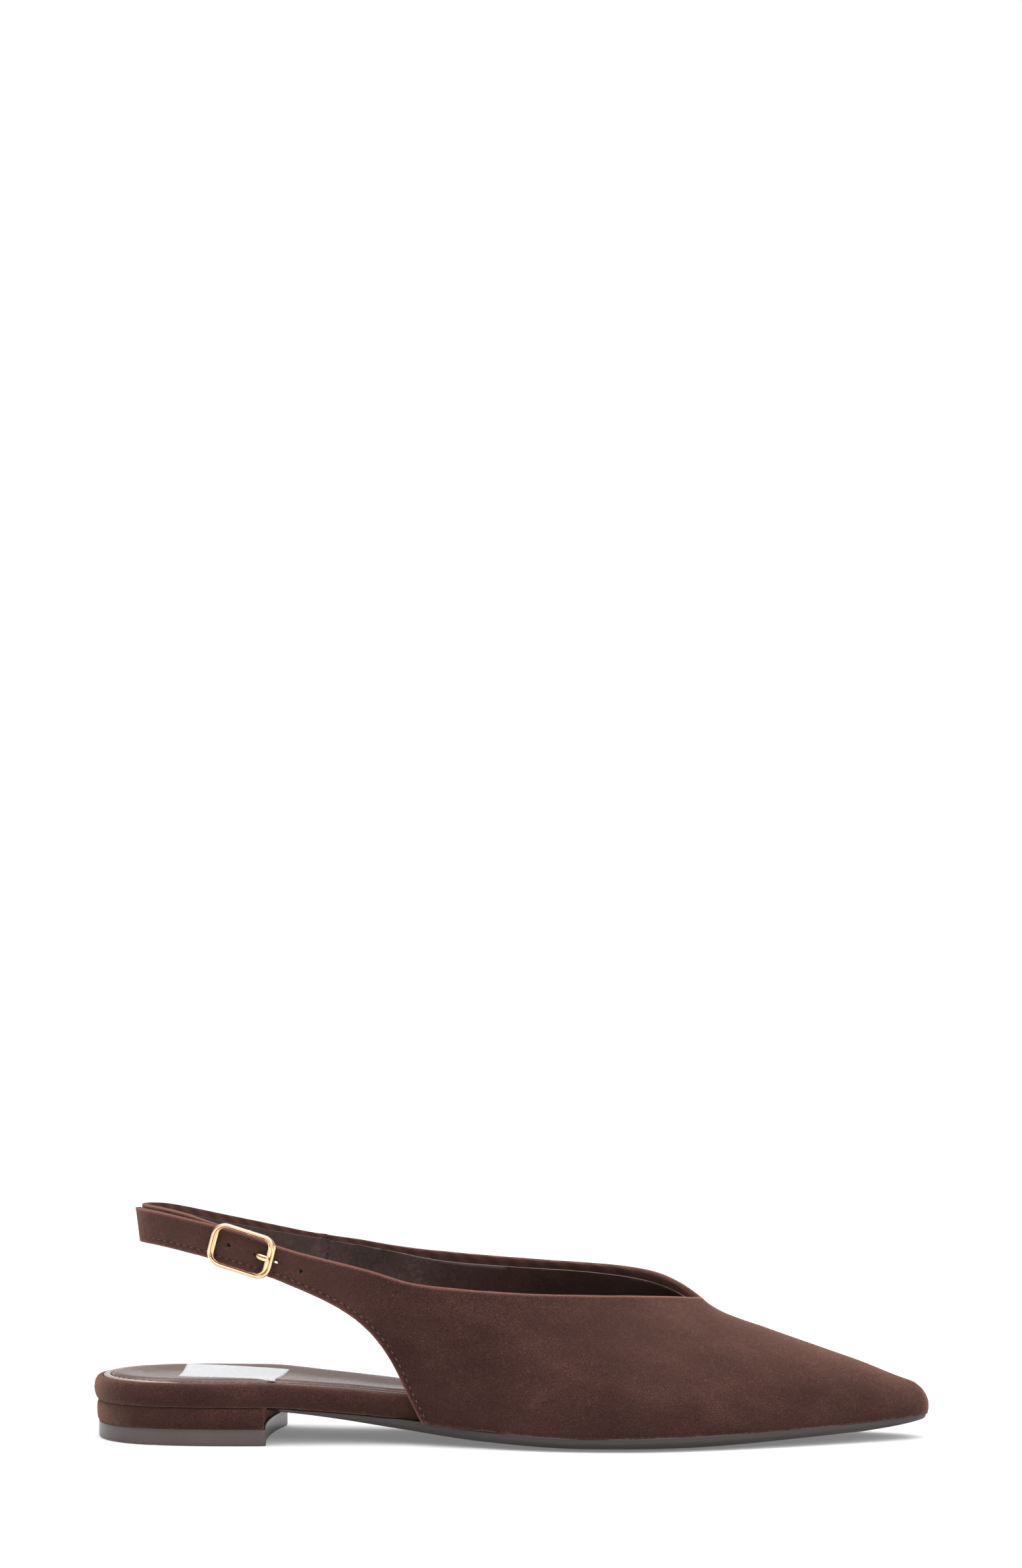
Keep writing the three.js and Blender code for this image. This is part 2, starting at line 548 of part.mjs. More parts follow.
function geometryFrom(points, faces) {
  const geometry = new THREE.BufferGeometry();
  const positions = new Float32Array(points.flatMap((point) => [point.x, point.y, point.z]));
  geometry.setAttribute("position", new THREE.BufferAttribute(positions, 3));
  geometry.setIndex(faces.flat());
  return geometry;
}

// Upper: vamp, both quarters, the outer strap and its tail
function upperGeometry() {
  const wall = new Wall();
  const outerGrid = upperGrid(OUTER);
  const columns = upperColumns(OUTER);
  const isHole = (i, j) => j === HOLE_ROW && HOLES.some((hole) => (
    Math.abs((columns[i].top + columns[i + 1].top) / 2 - hole.x) < 0.01));
  wall.addGrid(outerGrid, false, isHole);
  wall.addGrid(upperGrid(INNER), true);
  const thickness = (point) => mix(STRAP_THICKNESS, WALL, ramp(point.x, STRAP_NECK, QUARTER_FOOT));
  const onSole = (point) => point.x > QUARTER_FOOT - 0.01
    && Math.abs(point.z - soleTopAt(point.x) - CLEARANCE) < 0.01;
  return wall.solid(thickness, (inner, outer, normal) => {
    if (!onSole(outer)) return inner;
    const level = new THREE.Vector3(normal.x, normal.y, 0).normalize();
    const settled = outer.clone().addScaledVector(level, -thickness(outer));
    settled.z = soleTopAt(settled.x) + CLEARANCE;
    return settled;
  });
}

// Level line across the strap's outer face, in plan, and the way out of it
function slingFrame(x, side) {
  const step = 0.05;
  const here = railAt(x, side);
  const next = railAt(x + step, side);
  const tangent = new THREE.Vector2(step, next.y - here.y).normalize();
  return {
    point: new THREE.Vector2(here.x, here.y),
    tangent,
    outward: new THREE.Vector2(-side * tangent.y, side * tangent.x),
  };
}

// Sling strap: from the inner quarter's seam round the heel, inside the tail, to the buckle
const EYE_CELLS = 3;
const SLING_ROWS = 5; // cells from its lower edge to its top edge, an odd number

function slingStations() {
  const inner = range(16).map((index) => ({
    x: mix(SLING_INSET, SEAM_PLACE - CLEARANCE, (1 - index / 16) ** ROUND_POWER),
    side: INNER,
  }));
  const eyeEnd = BUCKLE_PLACE + SLING_REACH;
  const outer = range(14).map((index) => ({
    x: mix(SLING_INSET, eyeEnd - SLING_EYE, ((index + 1) / 14) ** ROUND_POWER),
    side: OUTER,
  }));
  const eye = range(EYE_CELLS).map((index) => ({
    x: mix(eyeEnd - SLING_EYE, eyeEnd, (index + 1) / EYE_CELLS),
    side: OUTER,
  }));
  return [...inner, { x: SLING_INSET, side: INNER }, ...outer, ...eye];
}

function slingStrapGeometry() {
  const stations = slingStations();
  const besideTail = STRAP_THICKNESS + CLEARANCE;
  const behindBar = CENTRE_BAR_DEPTH + CENTRE_BAR_RADIUS + CLEARANCE;
  const insetAt = (x, side) => {
    if (side === OUTER) return mix(besideTail, behindBar, ramp(x, BUCKLE_PLACE - 14, BUCKLE_PLACE - 4));
    return besideTail * (1 - ramp(x, mix(SLING_INSET, STRAP_NECK, 0.45), SEAM_PLACE - 6));
  };
  const riseAt = (x, side) => (
    side === OUTER ? SLING_RISE * (1 - ramp(x, BUCKLE_PLACE - 22, BUCKLE_PLACE - 6)) : 0);
  const grid = stations.map(({ x, side }) => range(SLING_ROWS + 1).map((row) => {
    const down = 1 - row / SLING_ROWS;
    const inset = insetAt(x, side) + leanAt(x, down);
    const z = railAt(x, side).z + riseAt(x, side) - STRAP_WIDTH * down;
    if (x === SLING_INSET) return new THREE.Vector3(x + inset, 0, z);
    const { point, outward } = slingFrame(x, side);
    return new THREE.Vector3(point.x - outward.x * inset, point.y - outward.y * inset, z);
  }));
  const wall = new Wall();
  const isEye = (i, j) => j === (SLING_ROWS - 1) / 2 && i >= stations.length - 1 - EYE_CELLS;
  wall.addGrid(grid, false, isEye);
  return wall.solid(() => STRAP_THICKNESS);
}

// A closed body between rings of points. Each ring has the same number of points.
function ringSolid(rings, capFaces) {
  const count = rings[0].length;
  const points = rings.flat();
  const faces = [];
  rings.slice(0, -1).forEach((_, level) => {
    range(count).forEach((k) => {
      const next = (k + 1) % count;
      const a = level * count + k;
      const b = level * count + next;
      faces.push([a, b, b + count]);
      faces.push([a, b + count, a + count]);
    });
  });
  const last = (rings.length - 1) * count;
  capFaces(rings[0]).forEach(([a, b, c]) => faces.push([a, c, b]));
  capFaces(rings[rings.length - 1]).forEach(([a, b, c]) => faces.push([a + last, b + last, c + last]));
  return geometryFrom(points, faces);
}

// Outline points: along the outer side from back to front, then back along the inner side.
// Where an end is closed to a point, that point is there once.
function outlineRing(xs, { closedBack, closedFront }) {
  const outerSide = xs.map((x) => ({ x, side: OUTER }));
  const innerSide = [...xs].reverse().map((x) => ({ x, side: INNER }));
  if (closedFront) innerSide.shift();
  if (closedBack) innerSide.pop();
  return [...outerSide, ...innerSide].map(({ x, side }) => {
    const step = 0.02;
    const before = Math.max(x - step, 0);
    const after = Math.min(x + step, SHOE_LENGTH);
    const run = new THREE.Vector2(after - before, edgeAt(after, side) - edgeAt(before, side)).normalize();
    const outward = new THREE.Vector2(-side * run.y, side * run.x);
    if (x < step) outward.set(-1, 0);
    if (x > SHOE_LENGTH - step) outward.set(1, 0);
    return { x, side, y: edgeAt(x, side), outward };
  });
}

const shift = (place, distance, z) => new THREE.Vector3(
  place.x + place.outward.x * distance,
  place.y + place.outward.y * distance,
  z,
);

// Strips across the shoe between the outer and the inner points of a ring
function stripFaces(xs, { closedBack, closedFront }) {
  return (ring) => {
    const count = ring.length;
    const outerId = (i) => i;
    const innerId = (i) => {
      if (closedFront && i === xs.length - 1) return outerId(i);
      if (closedBack && i === 0) return outerId(0);
      const offset = closedFront ? 1 : 0;
      return xs.length + (xs.length - 1 - i) - offset;
    };
    const faces = [];
    range(xs.length - 1).forEach((i) => {
      const corners = [outerId(i), outerId(i + 1), innerId(i + 1), innerId(i)];
      const unique = corners.filter((id, k) => corners.indexOf(id) === k);
      for (let k = 1; k < unique.length - 1; k += 1) faces.push([unique[0], unique[k], unique[k + 1]]);
    });
    const last = innerId(0);
    if (!closedBack) {
      range(count - 1 - last).forEach((k) => faces.push([0, last + k, last + k + 1]));
    }
    return faces;
  };
}

const eased = (from, to, count, power = 1) => range(count + 1).map((index) => (
  from + (to - from) * (index / count) ** power));

// Footbed: wrapped platform, its top hollowed for the sock. Inside the upper it is narrower.
const FOOTBED_RINGS = [
  { inset: 1, up: 0 },
  { inset: 0.2, up: 0.13 },
  { inset: -0.35, up: 0.45 },
  { inset: 0, up: 0.76 },
  { inset: 0.7, up: 0.93 },
  { inset: 1.6, up: 1 },
  { inset: SOCK_MARGIN, up: 1 },
];
const RECESS_SLANT = 0.1; // the recess is this much narrower at its floor
const NARROWING = QUARTER_FOOT - 14; // the footbed narrows from here to the quarters' foot
const footbedXs = [
  ...eased(0, HEEL_CURVE, 9, ROUND_POWER),
  ...eased(HEEL_CURVE, NARROWING, 7).slice(1),
  ...eased(NARROWING, QUARTER_FOOT, 5).slice(1),
  ...eased(QUARTER_FOOT, SOCK_LENGTH, 12).slice(1),
  ...eased(SHOE_LENGTH, SOCK_LENGTH, 9, ROUND_POWER).reverse().slice(1),
];

// How much narrower the footbed and the sock are where the upper stands round them
const insideUpper = (x) => (WALL + CLEARANCE + FOLD_ROOM) * ramp(x, NARROWING + 1, QUARTER_FOOT - 2);

function footbedGeometry() {
  const ends = { closedBack: true, closedFront: true };
  const places = outlineRing(footbedXs, ends);
  const rings = FOOTBED_RINGS.map(({ inset, up }) => places.map((place) => {
    const narrow = mix(1, 0.4, ramp(place.x, TOE_BACK, SHOE_LENGTH));
    const distance = inset * narrow + insideUpper(place.x);
    const point = shift(place, -distance, 0);
    point.z = mix(soleTopAt(place.x) + CLEARANCE, footbedTopAt(place.x), up);
    return point;
  }));
  const recess = rings[rings.length - 1].map((point, k) => (
    shift({ x: point.x, y: point.y, outward: places[k].outward }, -RECESS_SLANT, point.z - SOCK_RECESS)));
  return ringSolid([...rings, recess], stripFaces(footbedXs, ends));
}

// Sock lining: sheet in the footbed's recess
function sockGeometry() {
  const xs = footbedXs.filter((x) => x <= SOCK_LENGTH);
  const ends = { closedBack: true, closedFront: false };
  const places = outlineRing(xs, ends);
  const levels = [
    { inset: 0.35, up: 0 },
    { inset: 0, up: 0.45 },
    { inset: 0.4, up: 1 },
  ];
  const rings = levels.map(({ inset, up }) => places.map((place) => {
    const distance = SOCK_MARGIN + RECESS_SLANT + CLEARANCE + inset + insideUpper(place.x);
    const base = footbedTopAt(place.x) - SOCK_RECESS + CLEARANCE;
    return shift(place, -distance, base + SOCK_THICKNESS * up);
  }));
  return ringSolid(rings, stripFaces(xs, ends));
}

// Breast of the heel: x at a given y, bowed towards the heel
function breastAt(y, forward) {
  const half = HEEL_WIDTH / 2;
  const share = THREE.MathUtils.clamp(y / half, -1, 1);
  return HEEL_LENGTH + forward + BREAST_SKEW * (share + 1) / 2 - BREAST_HOLLOW * (1 - share * share);
}

const BREAST_POINTS = 7;

// Ring of the heel: the outline back of the breast, then points along the breast
function heelRing(inset, forward, z) {
  const xs = eased(0, HEEL_LENGTH - 8, 13, ROUND_POWER);
  const places = outlineRing(xs, { closedBack: true, closedFront: false });
  const side = places.map((place) => shift(place, -inset, z));
  const outerPoints = side.slice(0, xs.length);
  const innerPoints = side.slice(xs.length);
  const corner = (which) => {
    const y = edgeAt(HEEL_LENGTH, which) - which * inset;
    return new THREE.Vector3(breastAt(y, forward), y, z);
  };
  const from = corner(OUTER);
  const to = corner(INNER);
  const breast = range(BREAST_POINTS).map((index) => {
    const y = mix(from.y, to.y, (index + 1) / (BREAST_POINTS + 1));
    return new THREE.Vector3(breastAt(y, forward), y, z);
  });
  return [...outerPoints, from, ...breast, to, ...innerPoints];
}

function flatFaces(ring) {
  const contour = ring.map((point) => new THREE.Vector2(point.x, point.y));
  return THREE.ShapeUtils.triangulateShape(contour, []);
}

function heelBlockGeometry() {
  const base = TOP_LIFT_HEIGHT + CLEARANCE;
  const top = base + HEEL_BLOCK_HEIGHT;
  return ringSolid([
    heelRing(HEEL_INSET + 0.6, -0.3, base),
    heelRing(HEEL_INSET, 0, base + 0.8),
    heelRing(HEEL_INSET - 0.1, 0, mix(base, top, 0.6)),
    heelRing(HEEL_INSET, 0, top - 0.8),
    heelRing(HEEL_INSET + 0.6, -0.3, top),
  ], flatFaces);
}

function topLiftGeometry() {
  const inset = HEEL_INSET + LIFT_INSET;
  return ringSolid([
    heelRing(inset + 0.6, LIFT_PROUD - 0.1, 0),
    heelRing(inset + 0.15, LIFT_PROUD, 0.35),
    heelRing(inset, LIFT_PROUD, 0.9),
    heelRing(inset, LIFT_PROUD, TOP_LIFT_HEIGHT - 0.2),
    heelRing(inset + 0.2, LIFT_PROUD - 0.1, TOP_LIFT_HEIGHT),
  ], flatFaces);
}

// Outsole: its rear end follows the breast, its edge is a band over a bevel
const SOLE_RINGS = [
  { inset: 1, up: 0 },
  { inset: 0.35, up: 0.2 },
  { inset: 0.04, up: 0.62 },
  { inset: 0, up: 0.68 },
  { inset: 0, up: 1 },
];

function outsoleGeometry() {
  const rear = HEEL_LENGTH + BREAST_SKEW + LIFT_PROUD + CLEARANCE + 0.3;
  const xs = [
    rear,
    ...eased(rear, FLAT_BACK, 14).slice(1),
    ...eased(FLAT_BACK, FLAT_FRONT, 4).slice(1),
    ...eased(FLAT_FRONT, TOE_BACK, 6).slice(1),
    ...eased(SHOE_LENGTH, TOE_BACK, 12, ROUND_POWER).reverse().slice(1),
  ];
  const ends = { closedBack: false, closedFront: true };
  const places = outlineRing(xs, ends);
  const bevel = (x) => SOLE_BEVEL * bevelOf(x / SHOE_LENGTH);
  const edgeInset = (x) => WAIST_INSET * (1 - ramp(x, QUARTER_FOOT - 6, QUARTER_FOOT + 34))
    + TIP_INSET * ramp(x, TOE_BACK + 10, TOE_FRONT);
  const rings = SOLE_RINGS.map(({ inset, up }) => {
    const side = places.map((place) => {
      const distance = inset * bevel(place.x) + edgeInset(place.x);
      return shift(place, -distance, mix(undersideAt(place.x), soleTopAt(place.x), up));
    });
    const from = side[side.length - 1];
    const to = side[0];
    const breast = range(BREAST_POINTS).map((index) => {
      const y = mix(from.y, to.y, (index + 1) / (BREAST_POINTS + 1));
      const x = breastAt(y, LIFT_PROUD + CLEARANCE);
      return new THREE.Vector3(x, y, from.z);
    });
    return [...side, ...breast];
  });
  return ringSolid(rings, stripFaces(xs, ends));
}

// Place on the strap at the buckle: along it, across it and out of its plain outer face
const bucklePlane = (() => {
  const frame = slingFrame(BUCKLE_PLACE, OUTER);
  const step = 6;
  const rise = railAt(BUCKLE_PLACE + step, OUTER).z - railAt(BUCKLE_PLACE - step, OUTER).z;
  const run = slingFrame(BUCKLE_PLACE + step, OUTER).point
    .distanceTo(slingFrame(BUCKLE_PLACE - step, OUTER).point);
  const slope = Math.atan2(rise, run);
  const level = new THREE.Vector3(frame.tangent.x, frame.tangent.y, 0);
  const along = level.clone().multiplyScalar(Math.cos(slope));
  along.z = Math.sin(slope);
  const outward = new THREE.Vector3(frame.outward.x, frame.outward.y, 0);
  const across = outward.clone().cross(along);
  const middle = railAt(BUCKLE_PLACE, OUTER).z - STRAP_WIDTH / 2;
  const origin = new THREE.Vector3(frame.point.x, frame.point.y, middle);
  const holeAt = HOLE_START / along.x; // the prong's hole, along the strap
  return { along, across, outward, origin, holeAt };
})();

// A body drawn flat (x along, y across, z out of the strap), turned to lie at the buckle
function placeAtBuckle(geometry) {
  const turn = new THREE.Matrix4().makeBasis(bucklePlane.along, bucklePlane.across, bucklePlane.outward);
  turn.setPosition(bucklePlane.origin);
  geometry.applyMatrix4(turn);
  return geometry;
}

function roundedRectangle(length, height, radius, PathType) {
  const path = new PathType();
  const x = length / 2 - radius;
  const y = height / 2 - radius;
  path.absarc(x, y, radius, 0, Math.PI / 2);
  path.absarc(-x, y, radius, Math.PI / 2, Math.PI);
  path.absarc(-x, -y, radius, Math.PI, 1.5 * Math.PI);
  path.absarc(x, -y, radius, 1.5 * Math.PI, 2 * Math.PI);
  path.closePath();
  return path;
}

const ROUND_SIDES = 10;

// Manifold body of a closed geometry, and back
function toManifold(geometry) {
  const bare = geometry.clone();
  bare.deleteAttribute("normal");
  bare.deleteAttribute("uv");
  const merged = mergeVertices(bare, 1e-4);
  return new wasm.Manifold(new wasm.Mesh({
    numProp: 3,
    vertProperties: merged.attributes.position.array,
    triVerts: Uint32Array.from(merged.index.array),
  }));
}

function fromManifold(solid) {
  const mesh = solid.getMesh();
  const geometry = new THREE.BufferGeometry();
  geometry.setAttribute("position", new THREE.BufferAttribute(mesh.vertProperties, 3));
  geometry.setIndex([...mesh.triVerts]);
  return geometry;
}

function buckleFrameGeometry() {
  const edge = BUCKLE_EDGE;
  const shape = roundedRectangle(
    BUCKLE_LENGTH - 2 * edge, BUCKLE_HEIGHT - 2 * edge, BUCKLE_CORNER - edge, THREE.Shape);
  const windowLength = BUCKLE_LENGTH - 2 * SIDE_BAR_WIDTH + 2 * edge;
  const windowHeight = BUCKLE_HEIGHT - 2 * RAIL_WIDTH + 2 * edge;
  shape.holes.push(roundedRectangle(windowLength, windowHeight, BUCKLE_CORNER - RAIL_WIDTH, THREE.Path));
  const ring = new THREE.ExtrudeGeometry(shape, {
    depth: BUCKLE_DEPTH - 2 * edge,
    bevelEnabled: true,
    bevelThickness: edge,
    bevelSize: edge,
    bevelSegments: 2,
    curveSegments: 6,
  });
  ring.translate(0, 0, BUCKLE_LIFT + edge);
  const halfSpan = (BUCKLE_HEIGHT - RAIL_WIDTH) / 2;
  const bar = new THREE.CylinderGeometry(CENTRE_BAR_RADIUS, CENTRE_BAR_RADIUS, 2 * halfSpan, ROUND_SIDES);
  bar.translate(0, 0, -CENTRE_BAR_DEPTH);
  const postLength = CENTRE_BAR_DEPTH + BUCKLE_LIFT + BUCKLE_DEPTH / 2;
  const posts = [-1, 1].map((side) => {
    const post = new THREE.CylinderGeometry(POST_RADIUS, POST_RADIUS, postLength, ROUND_SIDES);
    post.rotateX(Math.PI / 2);
    post.translate(0, side * halfSpan, postLength / 2 - CENTRE_BAR_DEPTH);
    return post;
  });
  const solid = [bar, ...posts]
    .map(toManifold)
    .reduce((joined, piece) => joined.add(piece), toManifold(ring));
  return placeAtBuckle(fromManifold(solid));
}

// Prong: hooked round the centre bar, out through its hole and on to the front bar
function buckleProngGeometry() {
  const hook = CENTRE_BAR_RADIUS + CLEARANCE + PRONG_RADIUS;
  const rest = BUCKLE_LIFT + BUCKLE_DEPTH + CLEARANCE + PRONG_RADIUS;
  const hole = bucklePlane.holeAt;
  const path = new THREE.CatmullRomCurve3([
    [-0.8 * hook, -CENTRE_BAR_DEPTH - 0.6 * hook],
    [-0.25 * hook, -CENTRE_BAR_DEPTH - 0.97 * hook],
    [0.45 * hook, -CENTRE_BAR_DEPTH - 0.9 * hook],
    [1.15 * hook, -CENTRE_BAR_DEPTH - 0.55 * hook],
    [hole - 0.9, -CENTRE_BAR_DEPTH - 0.1],
    [hole - 0.25, -CENTRE_BAR_DEPTH + 1.1],
    [hole, 0],
    [hole + 0.35, 0.8],
    [hole + 1.4, rest - 0.8],
    [hole + 3.1, rest - 0.05],
    [BUCKLE_LENGTH / 2 - 0.4, rest],
  ].map(([along, out]) => new THREE.Vector3(along, 0, out)));
  const section = new THREE.Shape();
  section.absarc(0, 0, PRONG_RADIUS, 0, 2 * Math.PI);
  const prong = new THREE.ExtrudeGeometry(section, {
    steps: 26,
    curveSegments: 8,
    bevelEnabled: false,
    extrudePath: path,
  });
  return placeAtBuckle(prong);
}

function namedMesh(name, geometry, finish) {
  const bare = geometry.clone();
  bare.deleteAttribute("normal");
  bare.deleteAttribute("uv");
  const clean = mergeVertices(bare, 1e-4);
  const ids = [...clean.index.array];
  const kept = range(ids.length / 3)
    .map((face) => ids.slice(3 * face, 3 * face + 3))
    .filter(([a, b, c]) => a !== b && b !== c && a !== c);
  clean.setIndex(kept.flat());
  clean.computeVertexNormals();
  const mesh = new THREE.Mesh(clean, new THREE.MeshStandardMaterial(finish));
  mesh.name = name;
  return mesh;
}

const shoe = new THREE.Group();
shoe.add(
  namedMesh("outsole", outsoleGeometry(), COLORS.sole),
  namedMesh("heel_block", heelBlockGeometry(), COLORS.suede),
  namedMesh("top_lift", topLiftGeometry(), COLORS.lift),
  namedMesh("footbed", footbedGeometry(), COLORS.suede),
  namedMesh("sock_lining", sockGeometry(), COLORS.lining),
  namedMesh("upper", upperGeometry(), COLORS.suede),
  namedMesh("sling_strap", slingStrapGeometry(), COLORS.suede),
  namedMesh("buckle_frame", buckleFrameGeometry(), COLORS.gold),
  namedMesh("buckle_prong", buckleProngGeometry(), COLORS.gold),
);

const box = new THREE.Box3().setFromObject(shoe);
shoe.position.set(-(box.min.x + box.max.x) / 2, -(box.min.y + box.max.y) / 2, 0);

const part = new THREE.Group();
part.add(shoe);
export default part;
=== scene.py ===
import math
import random

import bmesh
import bpy
from bpy.props import FloatProperty, FloatVectorProperty, PointerProperty
from bpy.types import Operator, Panel, PropertyGroup
from mathutils import Matrix, Vector, kdtree, noise
from mathutils.bvhtree import BVHTree


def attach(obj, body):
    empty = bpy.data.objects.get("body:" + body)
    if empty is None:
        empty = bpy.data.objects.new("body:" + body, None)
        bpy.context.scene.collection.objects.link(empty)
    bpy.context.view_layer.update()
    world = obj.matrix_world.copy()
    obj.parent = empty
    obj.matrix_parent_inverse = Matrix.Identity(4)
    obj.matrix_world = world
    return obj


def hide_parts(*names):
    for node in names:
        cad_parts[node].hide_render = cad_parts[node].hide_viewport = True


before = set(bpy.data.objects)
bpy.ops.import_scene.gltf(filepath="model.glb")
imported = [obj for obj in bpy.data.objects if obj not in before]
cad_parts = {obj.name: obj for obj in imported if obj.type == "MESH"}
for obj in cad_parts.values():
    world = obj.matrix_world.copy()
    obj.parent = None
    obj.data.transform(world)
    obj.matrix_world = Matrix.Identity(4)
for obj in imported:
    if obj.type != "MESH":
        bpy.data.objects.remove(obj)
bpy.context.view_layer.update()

bl_info = {
    "name": "Suede slingback flat",
    "version": (1, 0, 0),
    "blender": (4, 5, 0),
    "location": "3D View > Sidebar > Shoe",
    "description": "Builds the looks of a right pointed toe slingback flat round its packed frame",
    "category": "Object",
}

# Lengths are metres, and these names keep the real sizes readable
MM = 0.001
BODY = "root"

# Material index of a face on a walled piece
OUTER, RIM, INNER, FOOT = 0, 1, 2, 3

# The buckle's own plane on the outer strap
BUCKLE_MIDDLE = Vector((-84.149, -19.540, 61.842)) * MM
BUCKLE_ALONG = Vector((0.93762, -0.22029, -0.26897))
BUCKLE_OUT = Vector((-0.22872, -0.97349, 0.0))
BUCKLE_ACROSS = BUCKLE_OUT.cross(BUCKLE_ALONG)

STITCH_INSET = 1.85 * MM  # from the cut edge to the stitching, unless the panel says otherwise


def linear(code):
    """A linear colour from its sRGB hex code."""
    parts = [int(code[i:i + 2], 16) / 255 for i in (0, 2, 4)]
    return tuple(c / 12.92 if c <= 0.04045 else ((c + 0.055) / 1.055) ** 2.4 for c in parts)


def smooth(value, low, high):
    """0 below low, 1 above high and an even ease between them."""
    share = min(max((value - low) / (high - low), 0), 1)
    return share * share * (3 - 2 * share)


def bell(value, width):
    """1 at 0, falling off smoothly over the width."""
    return math.exp(-(value / width) ** 2)


# Materials

def add(tree, kind, inputs=None, **settings):
    """Adds a node: its settings by name, its inputs as values or as other nodes' outputs."""
    node = tree.nodes.new(kind)
    for name, value in settings.items():
        setattr(node, name, value)
    for name, value in (inputs or {}).items():
        socket = node.inputs[name]
        if isinstance(value, bpy.types.NodeSocket):
            tree.links.new(value, socket)
        else:
            socket.default_value = value
    return node


def material(name):
    """An empty material with its shader, its tree and the object's own coordinates."""
    made = bpy.data.materials.new(name)
    made.use_nodes = True
    tree = made.node_tree
    tree.nodes.clear()
    shader = add(tree, "ShaderNodeBsdfPrincipled")
    add(tree, "ShaderNodeOutputMaterial", {"Surface": shader.outputs[0]})
    place = add(tree, "ShaderNodeTexCoord").outputs["Object"]
    return made, tree, shader, place


def grain(tree, place, size, detail=2.0, rough=0.5, distortion=0.0, stretch=(1, 1, 1), turn=0.0):
    """Noise with grains of the given real size, drawn out along axes turned about Y."""
    inputs = {
        "Vector": place, "Rotation": (0, turn, 0), "Scale": tuple(size * s for s in stretch),
    }
    turned = add(tree, "ShaderNodeMapping", inputs, vector_type="TEXTURE")
    inputs = {
        "Vector": turned.outputs[0], "Scale": 1.0, "Detail": detail,
        "Roughness": rough, "Distortion": distortion,
    }
    return add(tree, "ShaderNodeTexNoise", inputs).outputs["Fac"]


def pick(tree, share, first, second):
    """Mixes two values."""
    inputs = {"Factor": share, 2: first, 3: second}
    return add(tree, "ShaderNodeMix", inputs, data_type="FLOAT").outputs[0]


def product(tree, first, second):
    """Multiplies two values."""
    return add(tree, "ShaderNodeMath", {0: first, 1: second}, operation="MULTIPLY").outputs[0]


def stored(tree, name):
    """A distance in mm kept on the mesh."""
    return add(tree, "ShaderNodeAttribute", attribute_name=name).outputs["Fac"]


def spread(tree, value, low, high, to_low=0.0, to_high=1.0):
    """Maps a value from one range to another, smoothly and without overshoot."""
    inputs = {
        "Value": value, "From Min": low, "From Max": high, "To Min": to_low, "To Max": to_high,
    }
    node = add(tree, "ShaderNodeMapRange", inputs, interpolation_type="SMOOTHSTEP")
    return node.outputs["Result"]


def blend(tree, share, first, second):
    """Mixes two colours. A colour is a linear triple or another node's output."""
    node = add(tree, "ShaderNodeMix", {"Factor": share}, data_type="RGBA")
    for socket, colour in ((node.inputs[6], first), (node.inputs[7], second)):
        if isinstance(colour, bpy.types.NodeSocket):
            tree.links.new(colour, socket)
        else:
            socket.default_value = (*colour, 1)
    return node.outputs[2]


def sums(tree, *terms):
    """Adds values, each a pair of an output and its weight."""
    total = 0.0
    for value, weight in terms:
        inputs = {0: value, 1: weight, 2: total}
        total = add(tree, "ShaderNodeMath", inputs, operation="MULTIPLY_ADD").outputs[0]
    return total


def raise_grain(tree, shader, height, depth, strength=1.0):
    """Bump of the given real depth on the shader."""
    bump = add(tree, "ShaderNodeBump", {"Height": height, "Distance": depth, "Strength": strength})
    tree.links.new(bump.outputs[0], shader.inputs["Normal"])


